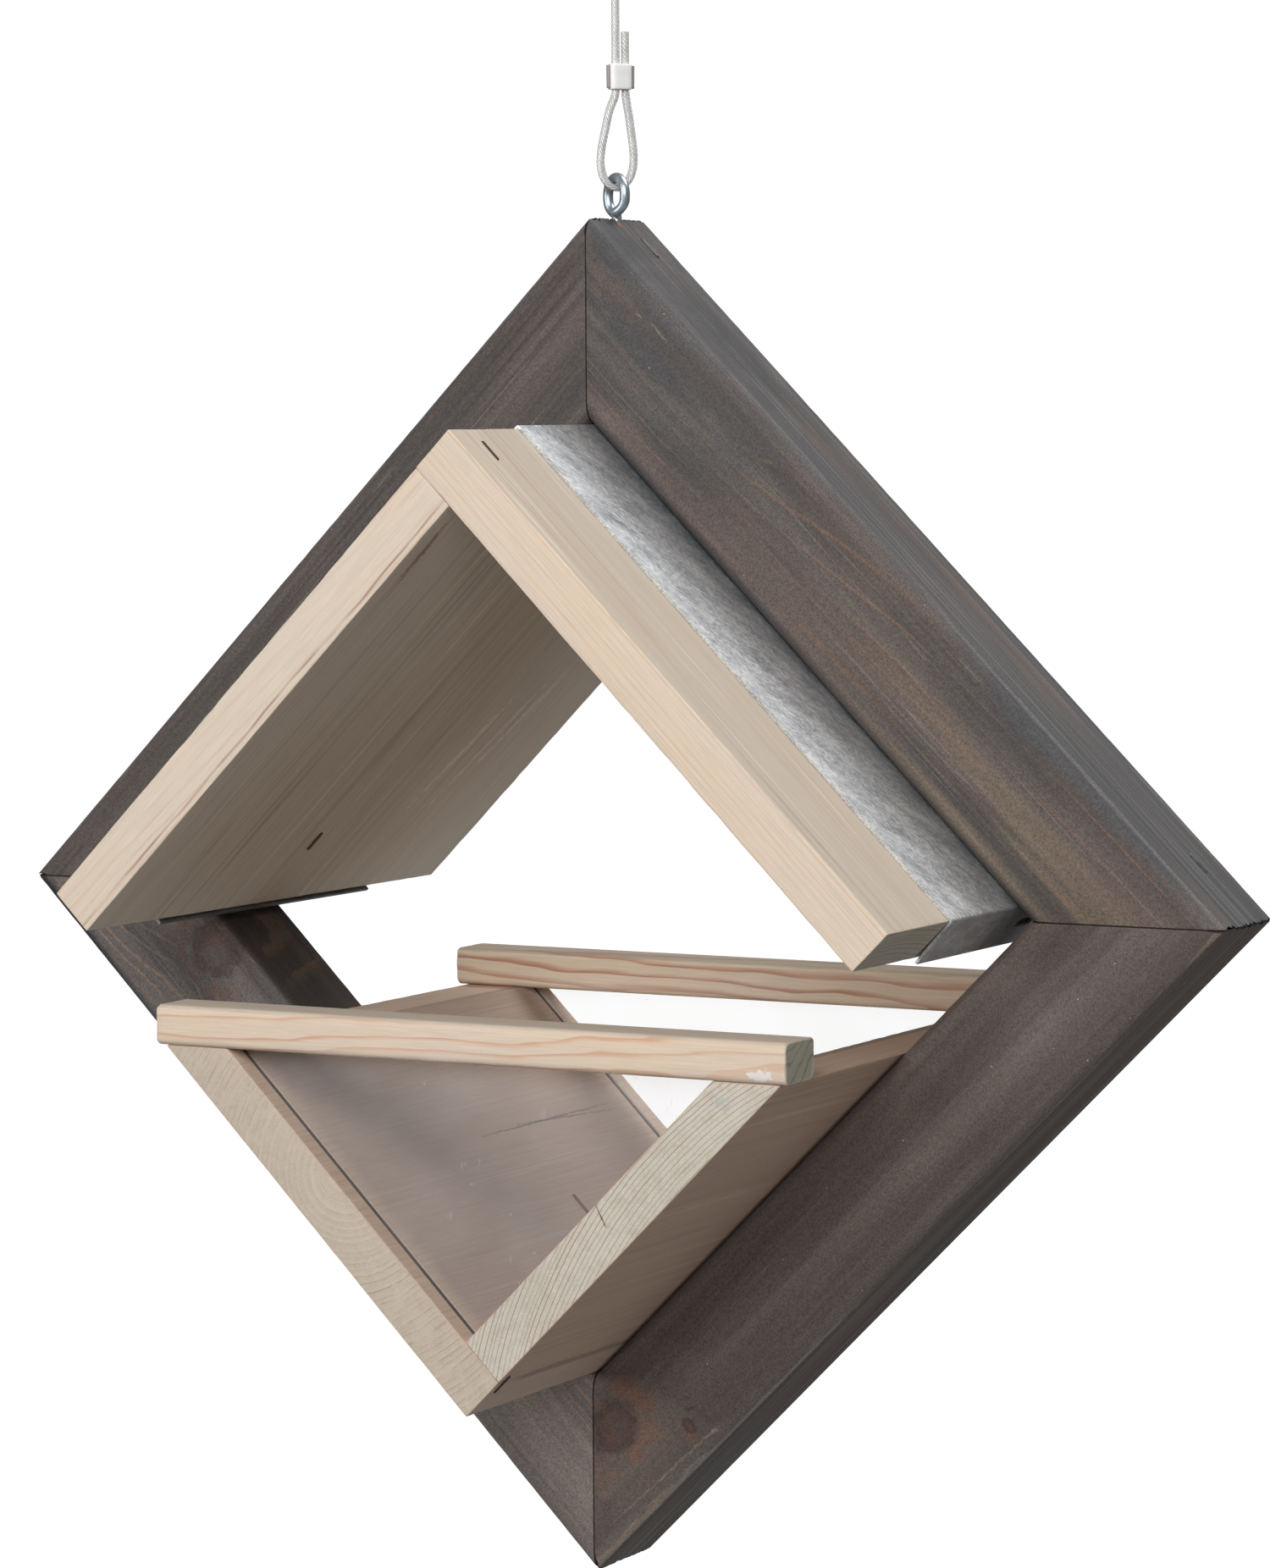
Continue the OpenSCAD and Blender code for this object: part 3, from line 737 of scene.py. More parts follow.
def bare_timber(name, place, heart, ring, summer, lines, line_width=0.35, lean=(0, 0, 0),
                wander=1.2 * MM, ripple=0.9 * MM, spring="#dccdbb", drift=2.2, ramp_tint=None,
                patch="#e2cbb2", patches=0.5, sawn_tint="#cbbdac", sawn_mix=0.75,
                figure="#a38b77", figures=0.3, end_tint="#c3bcab", end_line="#94806a",
                end_lines=0.85, pale_heart=None, seam=None, upward_tint=None, fibres=1.0,
                tray_side=0, painted_back_light=None, splits=()):
    """Bare softwood: planed edges, sawn faces gone grey, and end grain. tray_side is 1 for the
    left board of the tray and -1 for the right one."""
    made, tree, finish = new_material(name)
    at = own_coords(tree, place)
    wood = use(SOFTWOOD, at, {"Heart": heart, "Lean": lean, "Ring Width": ring, "Wander": wander,
                              "Ripple": ripple, "Line Width": line_width, "Drift": drift})
    sawn, ends, worn = [attribute(tree, key) for key in ("sawn", "end_cut", "worn")]
    planed, broken = planed_face(at, wood, spring, patch, patches, ramp_tint, lines, summer, seam)
    # sawn and weathered
    grey = blend(sawn_mix, planed, sawn_tint)
    grey = blend(wood["Ring"] * broken * figures, grey, figure)
    lifted = cloud(at, (9, 620, 620), 2, 0.6)
    torn = clumps(at, (5, 210, 210), 0.6, 0.68, 3, 0.65)
    pale = use(HAIRLINES, at, {"Stretch": (1.8, 250, 250), "Thickness": 0.02})[0]
    deep = use(HAIRLINES, at * (1, 1.17, 1), {"Stretch": (2.6, 380, 380), "Thickness": 0.02})[0]
    grey = paint(grey, (step_up(lifted, 0.45, 0.28) * (0.35 * fibres), "#9c8b78"),
                 (torn * (0.25 * fibres), "#8f7d6a"), (pale * (0.6 * fibres), "#f2e6d5"),
                 (deep * (0.5 * fibres), "#7d6c5a"))
    if tray_side:
        face, groove = tray_inside(at, tray_side)
        # painted shade over the inner face between the grooves
        grey = blend(face, grey, "#8f7f76")
    # painted light: the underside is lightened towards the open back of the house, as if lit from
    # behind
    if painted_back_light:
        tint, from_y, to_y = painted_back_light
        _, y, z = parts_of(at)
        under = step_up(z, -17 * MM, -17.8 * MM)
        grey = blend(under * step_up(y, from_y, to_y) * 0.6, grey, tint)
    colour = blend(sawn, planed, grey)
    if tray_side:
        colour = blend(groove, colour, GROOVE_SHADOW)
    colour = blend(ends, colour,
                   end_grain(at, wood, heart, end_tint, end_line, end_lines, pale_heart))
    colour = lay_splits(at, colour, splits)
    if upward_tint:
        # faces that look upwards are tinted towards the given colour
        up = parts_of(put(tree, "TexCoord")["Normal"])[2]
        colour = blend(step_up(up, 0.5, 0.95) * 0.7, colour, upward_tint)
    rub = use(EDGE_WEAR, at, {"Worn": worn, "Amount": 0.3})[0]
    colour = blend(rub * 0.3, colour, "#9c8c78") * (wood["Fibre"] * 0.32 + 0.84)
    pores = cloud(at, 1500, 2, 0.6)
    height = wood["Height"] + ((pale - deep) * 0.8 + lifted) * sawn * fibres
    height = height + pores * ends * 0.8
    feed(finish, {"Base Color": speckled(at, colour, 0.12),
                  "Roughness": wood["Fibre"] * 0.25 + 0.6, "Specular IOR Level": 0.3,
                  "Normal": bump(height, 0.45, 0.22 * MM)})
    return made


# ---------------------------------------------------------------- metals and plastics
STREAK_TURN = Matrix.Rotation(math.radians(28.8), 4, "Z")


def galvanised_sheet():
    """Fine bright and dark streaks down the slope, over a cloudy grey. The left drip edge is
    darkened with painted shade."""
    made, tree, finish = new_material("galvanised sheet")
    at = own_coords(tree, on_roof(1) @ STREAK_TURN)
    fine, broad = cloud(at, (550, 2300, 2300), 3, 0.65), cloud(at, (60, 160, 160), 3, 0.6)
    level = step_up(fine * 0.7 + broad * 0.3, 0.36, 0.64)
    down_left = parts_of(own_coords(tree, on_roof(-1)))[0]
    # painted shade: the left drip edge is darkened
    drip_edge_shade = step_up(down_left, ROOF_LEN + 0.3 * MM, ROOF_LEN + 1 * MM) * 0.75
    feed(finish, {"Base Color": blend(drip_edge_shade, blend(level, "#b4bcc2", "#ffffff"), "#484b4d"),
                  "Roughness": level * 0.14 + 0.36, "Metallic": 0.85,
                  "Normal": bump(level, 0.3, 0.05 * MM)})
    return made


def plated_wire(name, light, dark, metallic, least_rough, spread, rust=0.0, lug_shade=None):
    """Drawn or pressed metal, cloudy from dark to light, with spots of rust where it has any."""
    made, tree, finish = new_material(name)
    at = own_coords(tree)
    broad, fine = cloud(at, 320, 3, 0.6), cloud(at, 2400)
    colour = blend(broad, dark, light)
    # painted shade on the ferrule's lugs
    if lug_shade:
        colour = blend(attribute(tree, "lug"), colour, lug_shade)
    if rust:
        spots = clumps(at, 700, 0.62 - rust * 0.3, 0.74 - rust * 0.3, 3, 0.65)
        colour = blend(spots, colour, "#6b3a24")
    feed(finish, {"Base Color": colour, "Roughness": fine * spread + least_rough,
                  "Metallic": metallic, "Normal": bump(broad, 0.12, 0.1 * MM)})
    return made


def clear_pane():
    """Clear sheet with a haze of fine scratches and dust."""
    made, tree, finish = new_material("clear pane")
    at = own_coords(tree)
    haze = cloud(at, 26, 3, 0.6)
    marks = calc("MAXIMUM", clumps(at, (900, 60, 90), 0.66, 0.76),
                 clumps(at, (90, 60, 800), 0.68, 0.78))
    dust = use(SPECKS, at, {"Scale": 330, "Amount": 0.35})[0]
    flakes = use(SPECKS, at * (1, 0.2, 0.3), {"Scale": 170, "Amount": 1.7})[0]
    veil = haze * 0.1 + 0.03 + marks * 0.05 + flakes * 0.09
    feed(finish, {"Alpha": calc("ADD", veil, dust * 0.22, clamp=True),
                  "Base Color": blend(haze, "#e6e0e4", "#f7f5f4"),
                  "Roughness": marks * 0.3 + 0.12})
    return made


def clear_coat():
    """The rope's clear plastic coat, which looks denser where the eye meets it edge on, and is
    darkened there with painted shade.
    """
    made, tree, finish = new_material("clear rope coat")
    haze = cloud(own_coords(tree), 500)
    rim = step_up(put(tree, "LayerWeight", {"Blend": 0.5})["Facing"], 0.35, 0.8)
    clear = blend(haze, "#e9e7e1", "#f7f6f2")
    # painted shade: the edges, seen edge on, are tinted dark as well as made denser
    feed(finish, {"Alpha": haze * 0.08 + 0.03 + rim * 0.85,
                  "Base Color": blend(rim, clear, "#57514c"), "Roughness": haze * 0.1 + 0.06})
    return made


# ---------------------------------------------------------------- the rope and its ferrules
# across and up, in millimetres, from the tail through the loop and back up
LOOP_ROUTE = [(3.8, -71), (3.8, -76), (3.8, -82), (3.8, -87), (3.8, -91.5), (4.1, -94),
              (4.6, -97), (5.2, -100), (5.8, -104), (6.4, -108), (6.9, -112), (7, -115),
              (6.7, -118), (5.7, -121), (4.2, -123), (2.2, -124.5), (0, -125),
              (-2.2, -124.5), (-4, -123), (-5.3, -121), (-6.1, -118), (-6.2, -115),
              (-5.7, -111), (-4.8, -107), (-3.8, -103), (-2.8, -99), (-1.6, -96),
              (-0.6, -94), (0, -91.5), (0, -87), (0, -82), (0, -76), (0, -69)]
ROPE_MIDDLE = (0, -62)
ROPE_MIRROR = -123.6  # a height and its mirror image add up to this
ROUTE_STEP = 0.8 * MM
STRAND_GAP = 3.8 * MM
FERRULE_Z, FERRULE_H, FERRULE_W, FERRULE_D = -91 * MM, 8.8 * MM, 9.2 * MM, 5.2 * MM
LUG_W, LUG_T, LUG_IN = 10.8 * MM, 1.6 * MM, 0.4 * MM
FERRULE_AROUND, FERRULE_LEVELS = 56, 14

upper_half = [(across, ROPE_MIRROR - up) for across, up in LOOP_ROUTE[::-1]]
rope_line = [HANGER @ Vector((across * MM, 0, up * MM))
             for across, up in LOOP_ROUTE + [ROPE_MIDDLE] + upper_half]
rope_path = smooth_route(rope_line, ROUTE_STEP)


def rope_coat(material):
    data = bpy.data.curves.new("rope_coat", "CURVE")
    data.dimensions = "3D"
    line = data.splines.new("POLY")
    line.points.add(len(rope_path) - 1)
    for dot, p in zip(line.points, rope_path):
        dot.co = (*p, 1)
    data.bevel_depth, data.bevel_resolution, data.use_fill_caps = ROPE_D / 2, 5, True
    return add_piece("rope_coat", data, "hanger", material, ("wire_rope",),
                     smooth=False)


def strand_tree(material):
    """Geometry nodes: strands wound round a path at a steady lay."""
    tree, given, made = new_group(
        "wound strands",
        {"Geometry": None, "Strands": 6, "Wound Radius": 0.7 * MM, "Strand Radius": 0.35 * MM,
         "Lay Length": 9 * MM, "Step": 0.6 * MM, "Flat Side": (0, 1, 0)},
        {"Geometry": None}, "GeometryNodeTree")

    def step(kind, inputs, **settings):
        return put(tree, kind, inputs, "GeometryNode", **settings)

    line = step("MeshToCurve", {"Mesh": given["Geometry"]})[0]
    line = step("ResampleCurve", {"Curve": line, "Length": given["Step"]}, mode="LENGTH")[0]
    copies = step("DuplicateElements", {"Geometry": line, "Amount": given["Strands"]},
                  domain="SPLINE")
    along = step("SplineParameter", {})["Length"]
    across = vector("CROSS_PRODUCT", step("InputTangent", {})[0], given["Flat Side"])
    turns = along / given["Lay Length"] + copies["Duplicate Index"] / given["Strands"]
    angle = turns * FULL_TURN
    off = across * (calc("COSINE", angle) * given["Wound Radius"])
    off = off + given["Flat Side"] * (calc("SINE", angle) * given["Wound Radius"])
    wound = step("SetPosition", {"Geometry": copies[0], "Offset": off})[0]
    ring = step("CurvePrimitiveCircle", {"Resolution": 8, "Radius": given["Strand Radius"]})[0]
    tubes = step("CurveToMesh", {"Curve": wound, "Profile Curve": ring, "Fill Caps": True})[0]
    smooth = step("SetShadeSmooth", {"Geometry": tubes, "Shade Smooth": True})[0]
    real = step("RealizeInstances", {"Geometry": smooth})[0]
    feed(made, {"Geometry": step("SetMaterial", {"Geometry": real, "Material": material})[0]})
    return tree


def wind_strands(name, material, values):
    """Runs the strand tree along the rope and keeps its result as a plain piece."""
    path = bpy.data.meshes.new(name + "_path")
    path.from_pydata(rope_path, [(i, i + 1) for i in range(len(rope_path) - 1)], [])
    source = new_object(name + "_source", path)
    modifier = source.modifiers.new("made", "NODES")
    modifier.node_group = strand_tree(material)
    for item in modifier.node_group.interface.items_tree:
        if item.in_out == "INPUT" and item.name in values:
            modifier[item.identifier] = values[item.name]
    result = evaluated_mesh(source)
    bpy.data.objects.remove(source)
    result.name = name
    return add_piece(name, result, "hanger", None, smooth=False)


def pressed_column(bm, lug, half_w, half_d, low, high, power, ease, squeeze, dull, shift):
    """An upright with a rounded-box section, eased at both ends and pinched by the tool."""
    rim = [(0.0, ease), (ease * 0.3, ease * 0.35), (ease, 0.0)]
    between = [low + ease + (high - low - 2 * ease) * k / FERRULE_LEVELS
               for k in range(1, FERRULE_LEVELS)]
    levels = [(low + up, inset) for up, inset in rim] + [(z, 0.0) for z in between]
    levels += [(high - down, inset) for down, inset in rim[::-1]]
    rows = []
    for z, inset in levels:
        t = (z - low) / (high - low)
        pinch = squeeze * (0.5 + 0.5 * math.cos(2 * FULL_TURN * t)) * 0.5
        w, d = half_w - inset - 0.12 * MM * (1 - t), half_d - inset - pinch
        row = []
        for k in range(FERRULE_AROUND):
            c, s = [turn(FULL_TURN * k / FERRULE_AROUND) for turn in (math.cos, math.sin)]
            x = math.copysign(abs(c) ** power, c) * w + STRAND_GAP / 2 + shift
            y = math.copysign(abs(s) ** power, s) * d
            row.append(bm.verts.new(HANGER @ Vector((x, y, z))))
        rows.append(row)
    for face in skin_rows(bm, rows):
        face[lug] = dull


def ferrule(name, low, material, node):
    """A pressed sleeve round both strands, with a thin lug at each side in painted shade."""
    bm = bmesh.new()
    lug = bm.faces.layers.float.new("lug")
    high = low + FERRULE_H
    # dull=1.0 marks the lugs' faces, which are given painted shade
    pressed_column(bm, lug, FERRULE_W / 2 - 0.45 * MM, FERRULE_D / 2 - 0.1 * MM, low, high, 0.5,
                   0.3 * MM, squeeze=0.1 * MM, dull=0.0, shift=-0.3 * MM)
    pressed_column(bm, lug, LUG_W / 2, LUG_T / 2, low + LUG_IN, high - LUG_IN, 0.3, 0.2 * MM,
                   squeeze=0.0, dull=1.0, shift=0.0)
    return add_piece(name, as_mesh(name, bm), "hanger", material, (node,))


strand_steel = plated_wire("rope strand steel", "#ffffff", "#d4d2ce", 0.25, 0.25, 0.2)
core_steel = plated_wire("rope core steel", "#5b5753", "#3f3b38", 0.5, 0.4, 0.2)
# painted reflection: the sleeve is near-white and not metallic, standing in for its bright shine
ferrule_metal = plated_wire("pressed ferrule", "#ffffff", "#f6f5f4", 0.0, 0.3, 0.15,
                            lug_shade="#a29c98")
coat = rope_coat(clear_coat())
flat_side = HANGER.to_3x3() @ Vector((0, 1, 0))
strands = wind_strands("rope_strands", strand_steel, {
    "Flat Side": flat_side, "Wound Radius": 0.8 * MM, "Strand Radius": 0.35 * MM})
core = wind_strands("rope_core", core_steel, {
    "Flat Side": flat_side, "Strands": 1, "Wound Radius": 0.0, "Strand Radius": 0.5 * MM,
    "Step": 1.2 * MM})
sleeve_low = ferrule("ferrule_lower_sleeve", FERRULE_Z, ferrule_metal, "ferrule_lower")
sleeve_up = ferrule("ferrule_upper_sleeve", ROPE_MIRROR * MM - FERRULE_Z - FERRULE_H,
                    ferrule_metal, "ferrule_upper")
rope_long = sum((b - a).length for a, b in zip(rope_path, rope_path[1:]))

# ---------------------------------------------------------------- the screw eye
FOOT_TURN = 75  # how far round the ring's foot lies, in degrees from level
RING_START, RING_STEPS, BEND_STEPS, WIRE_AROUND = 252, 80, 10, 28
# how far the wire's cut end and its foot stand aside, from which angle on and over how much
CUT_ASIDE, CUT_FROM, CUT_OVER = -1.8 * MM, 190, 62
FOOT_ASIDE, FOOT_FROM, FOOT_OVER = 0.6 * MM, -10, 65
POINT_LEN, POINT_R = 7 * MM, 0.3 * MM
LOWER_FULL, LOWER_LONG = 0.8, 1.08  # the ring's lower half is fuller and longer


def eased(v):
    v = max(0.0, min(1.0, v))
    return v * v * (3 - 2 * v)


def eye_route():
    """The wire's middle line, from the cut end round the ring and down the shank to its point:
    across, up, the wire's radius there, and how far it stands aside."""
    route, full = [], EYE_WIRE / 2
    for k in range(RING_STEPS + 1):
        a = RING_START - k / RING_STEPS * (RING_START + FOOT_TURN)
        aside = CUT_ASIDE * eased((a - CUT_FROM) / CUT_OVER)
        aside += FOOT_ASIDE * eased((FOOT_FROM - a) / FOOT_OVER)
        y, z = math.cos(math.radians(a)), math.sin(math.radians(a))
        if z < 0:
            y, z = math.copysign(abs(y) ** LOWER_FULL, y), -LOWER_LONG * abs(z) ** LOWER_FULL
        route.append((RING_R * y, RING_R * z, full, aside))
    y0, z0, _, aside = route[-1]
    foot_turn = math.radians(FOOT_TURN)
    bend = y0 / (1 - math.cos(foot_turn))
    for k in range(1, BEND_STEPS + 1):  # the bend down into the shank
        left = 1 - k / BEND_STEPS
        a = math.pi - foot_turn * left
        route.append((bend + bend * math.cos(a),
                      z0 - bend * math.sin(foot_turn) + bend * math.sin(a), full, aside * left))
    foot = FRAME_TOP - SHANK_LEN - RING_Z
    return route + [(0.0, foot + POINT_LEN, full, 0.0), (0.0, foot + POINT_LEN / 2, full / 2, 0.0),
                    (0.0, foot, POINT_R, 0.0)]


def screw_eye(material):
    """One bent wire: its cut end, the ring, the bend, the shank and its point."""
    bm = bmesh.new()
    rows, route = [], eye_route()
    for i, (y, z, r, aside) in enumerate(route):
        a, b = route[max(i - 1, 0)], route[min(i + 1, len(route) - 1)]
        d = Vector((b[0] - a[0], b[1] - a[1])).normalized()
        out = Vector((d.y, -d.x))
        rounds = [(0.0, r)]
        if i == 0:  # the cut end, with its edge eased
            rounds = [(0.0, r - 0.35 * MM), (0.12 * MM, r - 0.1 * MM), (0.4 * MM, r)]
        for along, wide in rounds:
            row = []
            for k in range(WIRE_AROUND):
                w = FULL_TURN * k / WIRE_AROUND
                level = out * (wide * math.cos(w)) + d * along
                row.append(bm.verts.new(HANGER @ Vector((
                    aside + wide * math.sin(w), y + level.x, RING_Z + z + level.y))))
            rows.append(row)
    skin_rows(bm, rows)
    return add_piece("screw_eye", as_mesh("screw_eye", bm), "eye", material, ("eye_screw",))


screw_eye(plated_wire("zinc plated wire", "#c3ced6", "#9fabb4", 0.72, 0.27, 0.08))

# ---------------------------------------------------------------- the frame
frame_section = rectangle(FRAME_DEPTH, -FRAME_W, 0)
stains = {
    "upper_right": dict(
        heart=(0, 0.09, -0.13), ring=5.5 * MM, wander=2.5 * MM, lean=(0, 0, 0.03),
        line="#a0765a", lines=0.6, line_width=0.1, warm=0.55, blue=0.9, blue_out=0.35, wear=0.0,
        outer_line="#8a8886", outer_lines=0.3, brown="#74635a", dark="#4b4745", mid="#645e5a",
        far=("#8b7864", -16 * MM, -34 * MM), inner=("#34383d", 6.5 * MM, 0.6),
        knots=[(14.5, -22.5, -2, 4.2, (0.4, 0.15, 1.0)), (47, -22.5, -18, 4.2, (0.11, 0.1, 1.0)),
               (62, 2, 0, 6, (0.22, 0.5, 0.1))],
        knot_core="#3c3d42", knot_halo="#47474a", knot_mix=0.6,
        splits=[(44, -22.5, -7.9, 53.5, -22.5, -8.5, 0.7, "#9a8874", 0.5),
                (37.5, -22.5, -9.6, 41, -22.5, -9.4, 0.6, "#9a8874", 0.5),
                (34, -22.5, -2, 38.5, -22.5, -1.2, 0.9, "#8f9290", 0.5),
                (2.2, -1.2, 0, 4.2, -2.2, 0, 1.9, "#a8622f", 0.9)]),
    "lower_right": dict(
        heart=(0, 0.11, -0.05), ring=6.5 * MM, line="#463f3d", lines=0.35, line_width=0.4,
        warm=0.35, blue=0.15, wear=0.2, worn_ends=0.75, outer_line="#8f8984", outer_lines=0.7,
        hairs=0.1, dust=0.22, dark="#564d48", mid="#706660", brown="#6b5b52",
        knots=[(292.6, -22.5, -31.1, 8, (0.8, 0.1, 0.95)),
               (269.5, -22.5, -12.5, 2.1, (0.9, 0.1, 0.7))],
        knot_core="#4c3129", knot_halo="#85563a", knot_mix=0.9, knot_rim=0.45,
        splits=[(262, -22.5, -5.2, 294, -22.5, -6.5, 1, "#94826e", 0.35),
                (288, -22.5, -6.1, 319, -22.5, -7.8, 0.9, "#94826e", 0.3),
                (260, -22.5, -4.6, 267, -22.5, -5.4, 1.5, "#8d8478", 0.5),
                (264, -22.5, -15.5, 266.5, -22.5, -17.8, 2.4, "#2d2a2a", 0.5)]),
    "lower_left": dict(
        heart=(0, 0.02, -0.25), ring=4 * MM, wander=1.2 * MM, line="#a8866a", lines=0.9,
        line_width=0.28, warm=0.3, blue=0.35, wear=0.3, cool="#58595b", dark="#6c6663",
        mid="#8e847b", far=("#303236", 10 * MM, 5 * MM), inner=("#26201e", 2 * MM, 0.6),
        knots=[(261.2, -22.5, -40.4, 8, (0.8, 0.1, 0.8))],
        knot_core="#4a302a", knot_halo="#6b4a38", knot_rim=0.45),
    "upper_left": dict(
        heart=(0, -0.02, -0.22), ring=3.9 * MM, wander=2.2 * MM, line="#3e3735", lines=0.7,
        line_width=0.5, warm=0.3, blue=0.1, wear=0.25, dark="#4c4643", mid="#655c58"),
}
for k, side in enumerate(stains):
    place = on_member(k)
    stain = stained_timber(f"stained timber {side.replace('_', ' ')}", place, **stains[side])
    loft_board(f"timber_{side}", place, frame_section, FRAME_ARRIS,
               lambda y, z: -z + MITRE_GAP, lambda y, z: FRAME_SIDE + z - MITRE_GAP, 0.5 * MM,
               7.3 * (k + 1), stain, f"frame_{side}", wear=0.16 * MM,
               flat_step=[1.2 * MM, 1.2 * MM, 0.5 * MM, 1.2 * MM], ragged=1.5 * MM,
               ragged_from=-4 * MM)

# ---------------------------------------------------------------- the roof
roof_grain = {
    "right": dict(
        heart=(0, -0.1, -0.1), ring=1.75 * MM, lines=0.8, summer="#dba880", line_width=0.3,
        figures=0.08, sawn_tint="#c0b2a1", sawn_mix=0.85, fibres=0.6),
    "left": dict(
        heart=(0, -0.075, -0.075), lean=(0, 0.015, 0.012), ring=1.3 * MM, lines=0.5,
        summer="#d3b098", figures=0.45, figure="#b39e8c", seam=-15.6 * MM, sawn_tint="#d3cbbd",
        painted_back_light=("#f6eee2", -10 * MM, -100 * MM),
        splits=[(26, 108, -18, 56, 106.5, -18, 3.5, "#9a6550", 0.55),
                (108.6, -78.7, -18, 164.7, -69.9, -18, 2.6, "#fffaf2", 0.6),
                (116.6, -70, -18, 181.4, -60.8, -18, 2.2, "#fffaf2", 0.6),
                (121.1, -54.3, -18, 181.7, -45.9, -18, 3, "#fffaf2", 0.55)]),
}
for side, label, first in ((1, "right", 0.0), (-1, "left", ROOF_T)):
    place = on_roof(side)
    timber = bare_timber(f"bare timber roof {label}", place, **roof_grain[label])
    loft_board(f"roof_plank_{label}", place, rectangle(ROOF_DEPTH, -ROOF_T, 0), 0.5 * MM,
               lambda y, z: first, lambda y, z: ROOF_LEN, 0.35 * MM, 31.7 + side * 5, timber,
               f"roof_board_{label}", wear=0.22 * MM,
               sawn_sides=[1.0, 0.0, 1.0, 0.0])

# ---------------------------------------------------------------- the tray
# sections in the tray's own (Y, Z), from the keel: the left board runs on under the right one
h, t = TRAY_H, TRAY_ACROSS
tray_sections = {"left": [(0, 0), (h, h), (h - 2 * t, h), (-t, t)],
                 "right": [(-t, t), (0, 2 * t), (-(h - 2 * t), h), (-h, h)]}
tray_grain = {
    "left": dict(
        heart=(0, 0.047, 0.079), ring=2.4 * MM, wander=0.6 * MM, ripple=0.5 * MM,
        spring="#d2bba8", patch="#c7a892", lines=0.45, summer="#a98672", sawn_tint="#cbb5a3",
        sawn_mix=0.35, figures=0.15, end_tint="#c8b8a6", end_line="#857262", end_lines=0.6,
        pale_heart=24 * MM,
        splits=[(-9, 52.9, 78.3, 87.3, 53.3, 78.8, 0.8, "#453a34", 0.7),
                (11.5, 54, 79.5, 92.4, 50.9, 76.4, 0.7, "#453a34", 0.6)]),
    "right": dict(
        heart=(0, -0.2, -0.03), ring=1.7 * MM, wander=0.5 * MM, ripple=0.4 * MM, drift=0.9,
        spring="#d0b5a1", patch="#c6a48d", lines=0.35, summer="#ab8570", sawn_tint="#cbb09c",
        sawn_mix=0.4, figures=0.25, end_tint="#d0cabd", end_line="#8a5f4a", end_lines=1.0,
        splits=[(-110, -50.5, 75.5, -110, -54.5, 68, 0.7, "#6e4f33", 0.85),
                (-110, -95.5, 113.5, -110, -100.5, 112, 5, "#aeb5ad", 0.6)]),
}
GROOVE_LEN, GROOVE_MID = 0.23, 0.11  # past the board's upper edge, so that it is open there
for label, side, seed in (("left", 1, 71.3), ("right", -1, 93.1)):
    timber = bare_timber(f"bare timber tray {label}", ON_TRAY, line_width=0.22, fibres=0.35,
                         tray_side=side, **tray_grain[label])
    board = loft_board(f"tray_plank_{label}", ON_TRAY, tray_sections[label], 0.4 * MM,
                       lambda y, z: -TRAY_DEPTH / 2, lambda y, z: TRAY_DEPTH / 2, 0.35 * MM, seed,
                       timber, f"tray_board_{label}", wear=0.2 * MM,
                       sawn_sides=[1.0] * 4)
    turn = Matrix.Rotation(math.radians(-45 * side), 4, "Y")
    up_slope = Vector((-side, 0, 1)).normalized()
    for y in (-GROOVE_Y, GROOVE_Y):
        middle = MIDDLE + Vector((0, y, KEEL + 2 * TRAY_ACROSS)) + up_slope * GROOVE_MID
        cut_box(board, Matrix.Translation(middle) @ turn,
                (2 * GROOVE_DEPTH, GROOVE_W + GROOVE_EASE, GROOVE_LEN + 2 * GROOVE_DEPTH))

# ---------------------------------------------------------------- the perches
perch_section = rectangle(PERCH_W, -PERCH_H / 2, PERCH_H / 2)
perch_grain = {
    "front": dict(
        heart=(0, 0.012, -0.04), lean=(0, 0.02, 0.07), spring="#dccaba", summer="#c79473",
        lines=0.75, line_width=0.25, ramp_tint="#e0b597", ring=4.2 * MM, ripple=9 * MM,
        wander=1.6 * MM, upward_tint="#d2c7b8",
        splits=[(231, -10.5, -4.2, 239, -10.5, -4.8, 4.5, "#ece9e4", 0.8)]),
    "rear": dict(
        heart=(0, -0.02, 0.045), lean=(0, 0.03, -0.03), spring="#f3e1cd", summer="#bd7a5e",
        lines=0.85, line_width=0.42, ramp_tint="#d49c7e", ring=5.6 * MM, ripple=11 * MM,
        wander=2.6 * MM, upward_tint="#968d7e"),
}
for label, y in (("front", -PERCH_Y), ("rear", PERCH_Y)):
    place = axes((1, 0, 0), (0, 1, 0), (0, 0, 1), (-PERCH_LEN / 2, y, PERCH_Z))
    timber = bare_timber(f"bare timber perch {label}", place, patch="#e0c8a6", patches=0.35,
                         end_tint="#b5b2a3", end_line="#8a8474", **perch_grain[label])
    loft_board(f"perch_strip_{label}", place, perch_section, PERCH_ARRIS, lambda y, z: 0.0,
               lambda y, z: PERCH_LEN, 0.5 * MM, 121.3 + y * 100, timber, f"perch_{label}",
               wear=0.25 * MM, flat_step=1.5 * MM, ragged=0.35 * MM)


# ---------------------------------------------------------------- staples, panes and sheet
def finer_staples(node, share, material):
    """Staples of a finer wire: each is squeezed across its crown, about its own middle."""
    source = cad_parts[node]
    mesh = source.data.copy()
    mesh.transform(source.matrix_world)
    mesh.materials.clear()
    for sign in (-1, 1):
        own = [vertex for vertex in mesh.vertices if vertex.co.y * sign > 0]
        middle = sum(vertex.co.y for vertex in own) / len(own)
        for vertex in own:
            vertex.co.y = middle + (vertex.co.y - middle) * share
    add_piece(f"fine_{node}", mesh, "house", material, (node,), smooth=False)


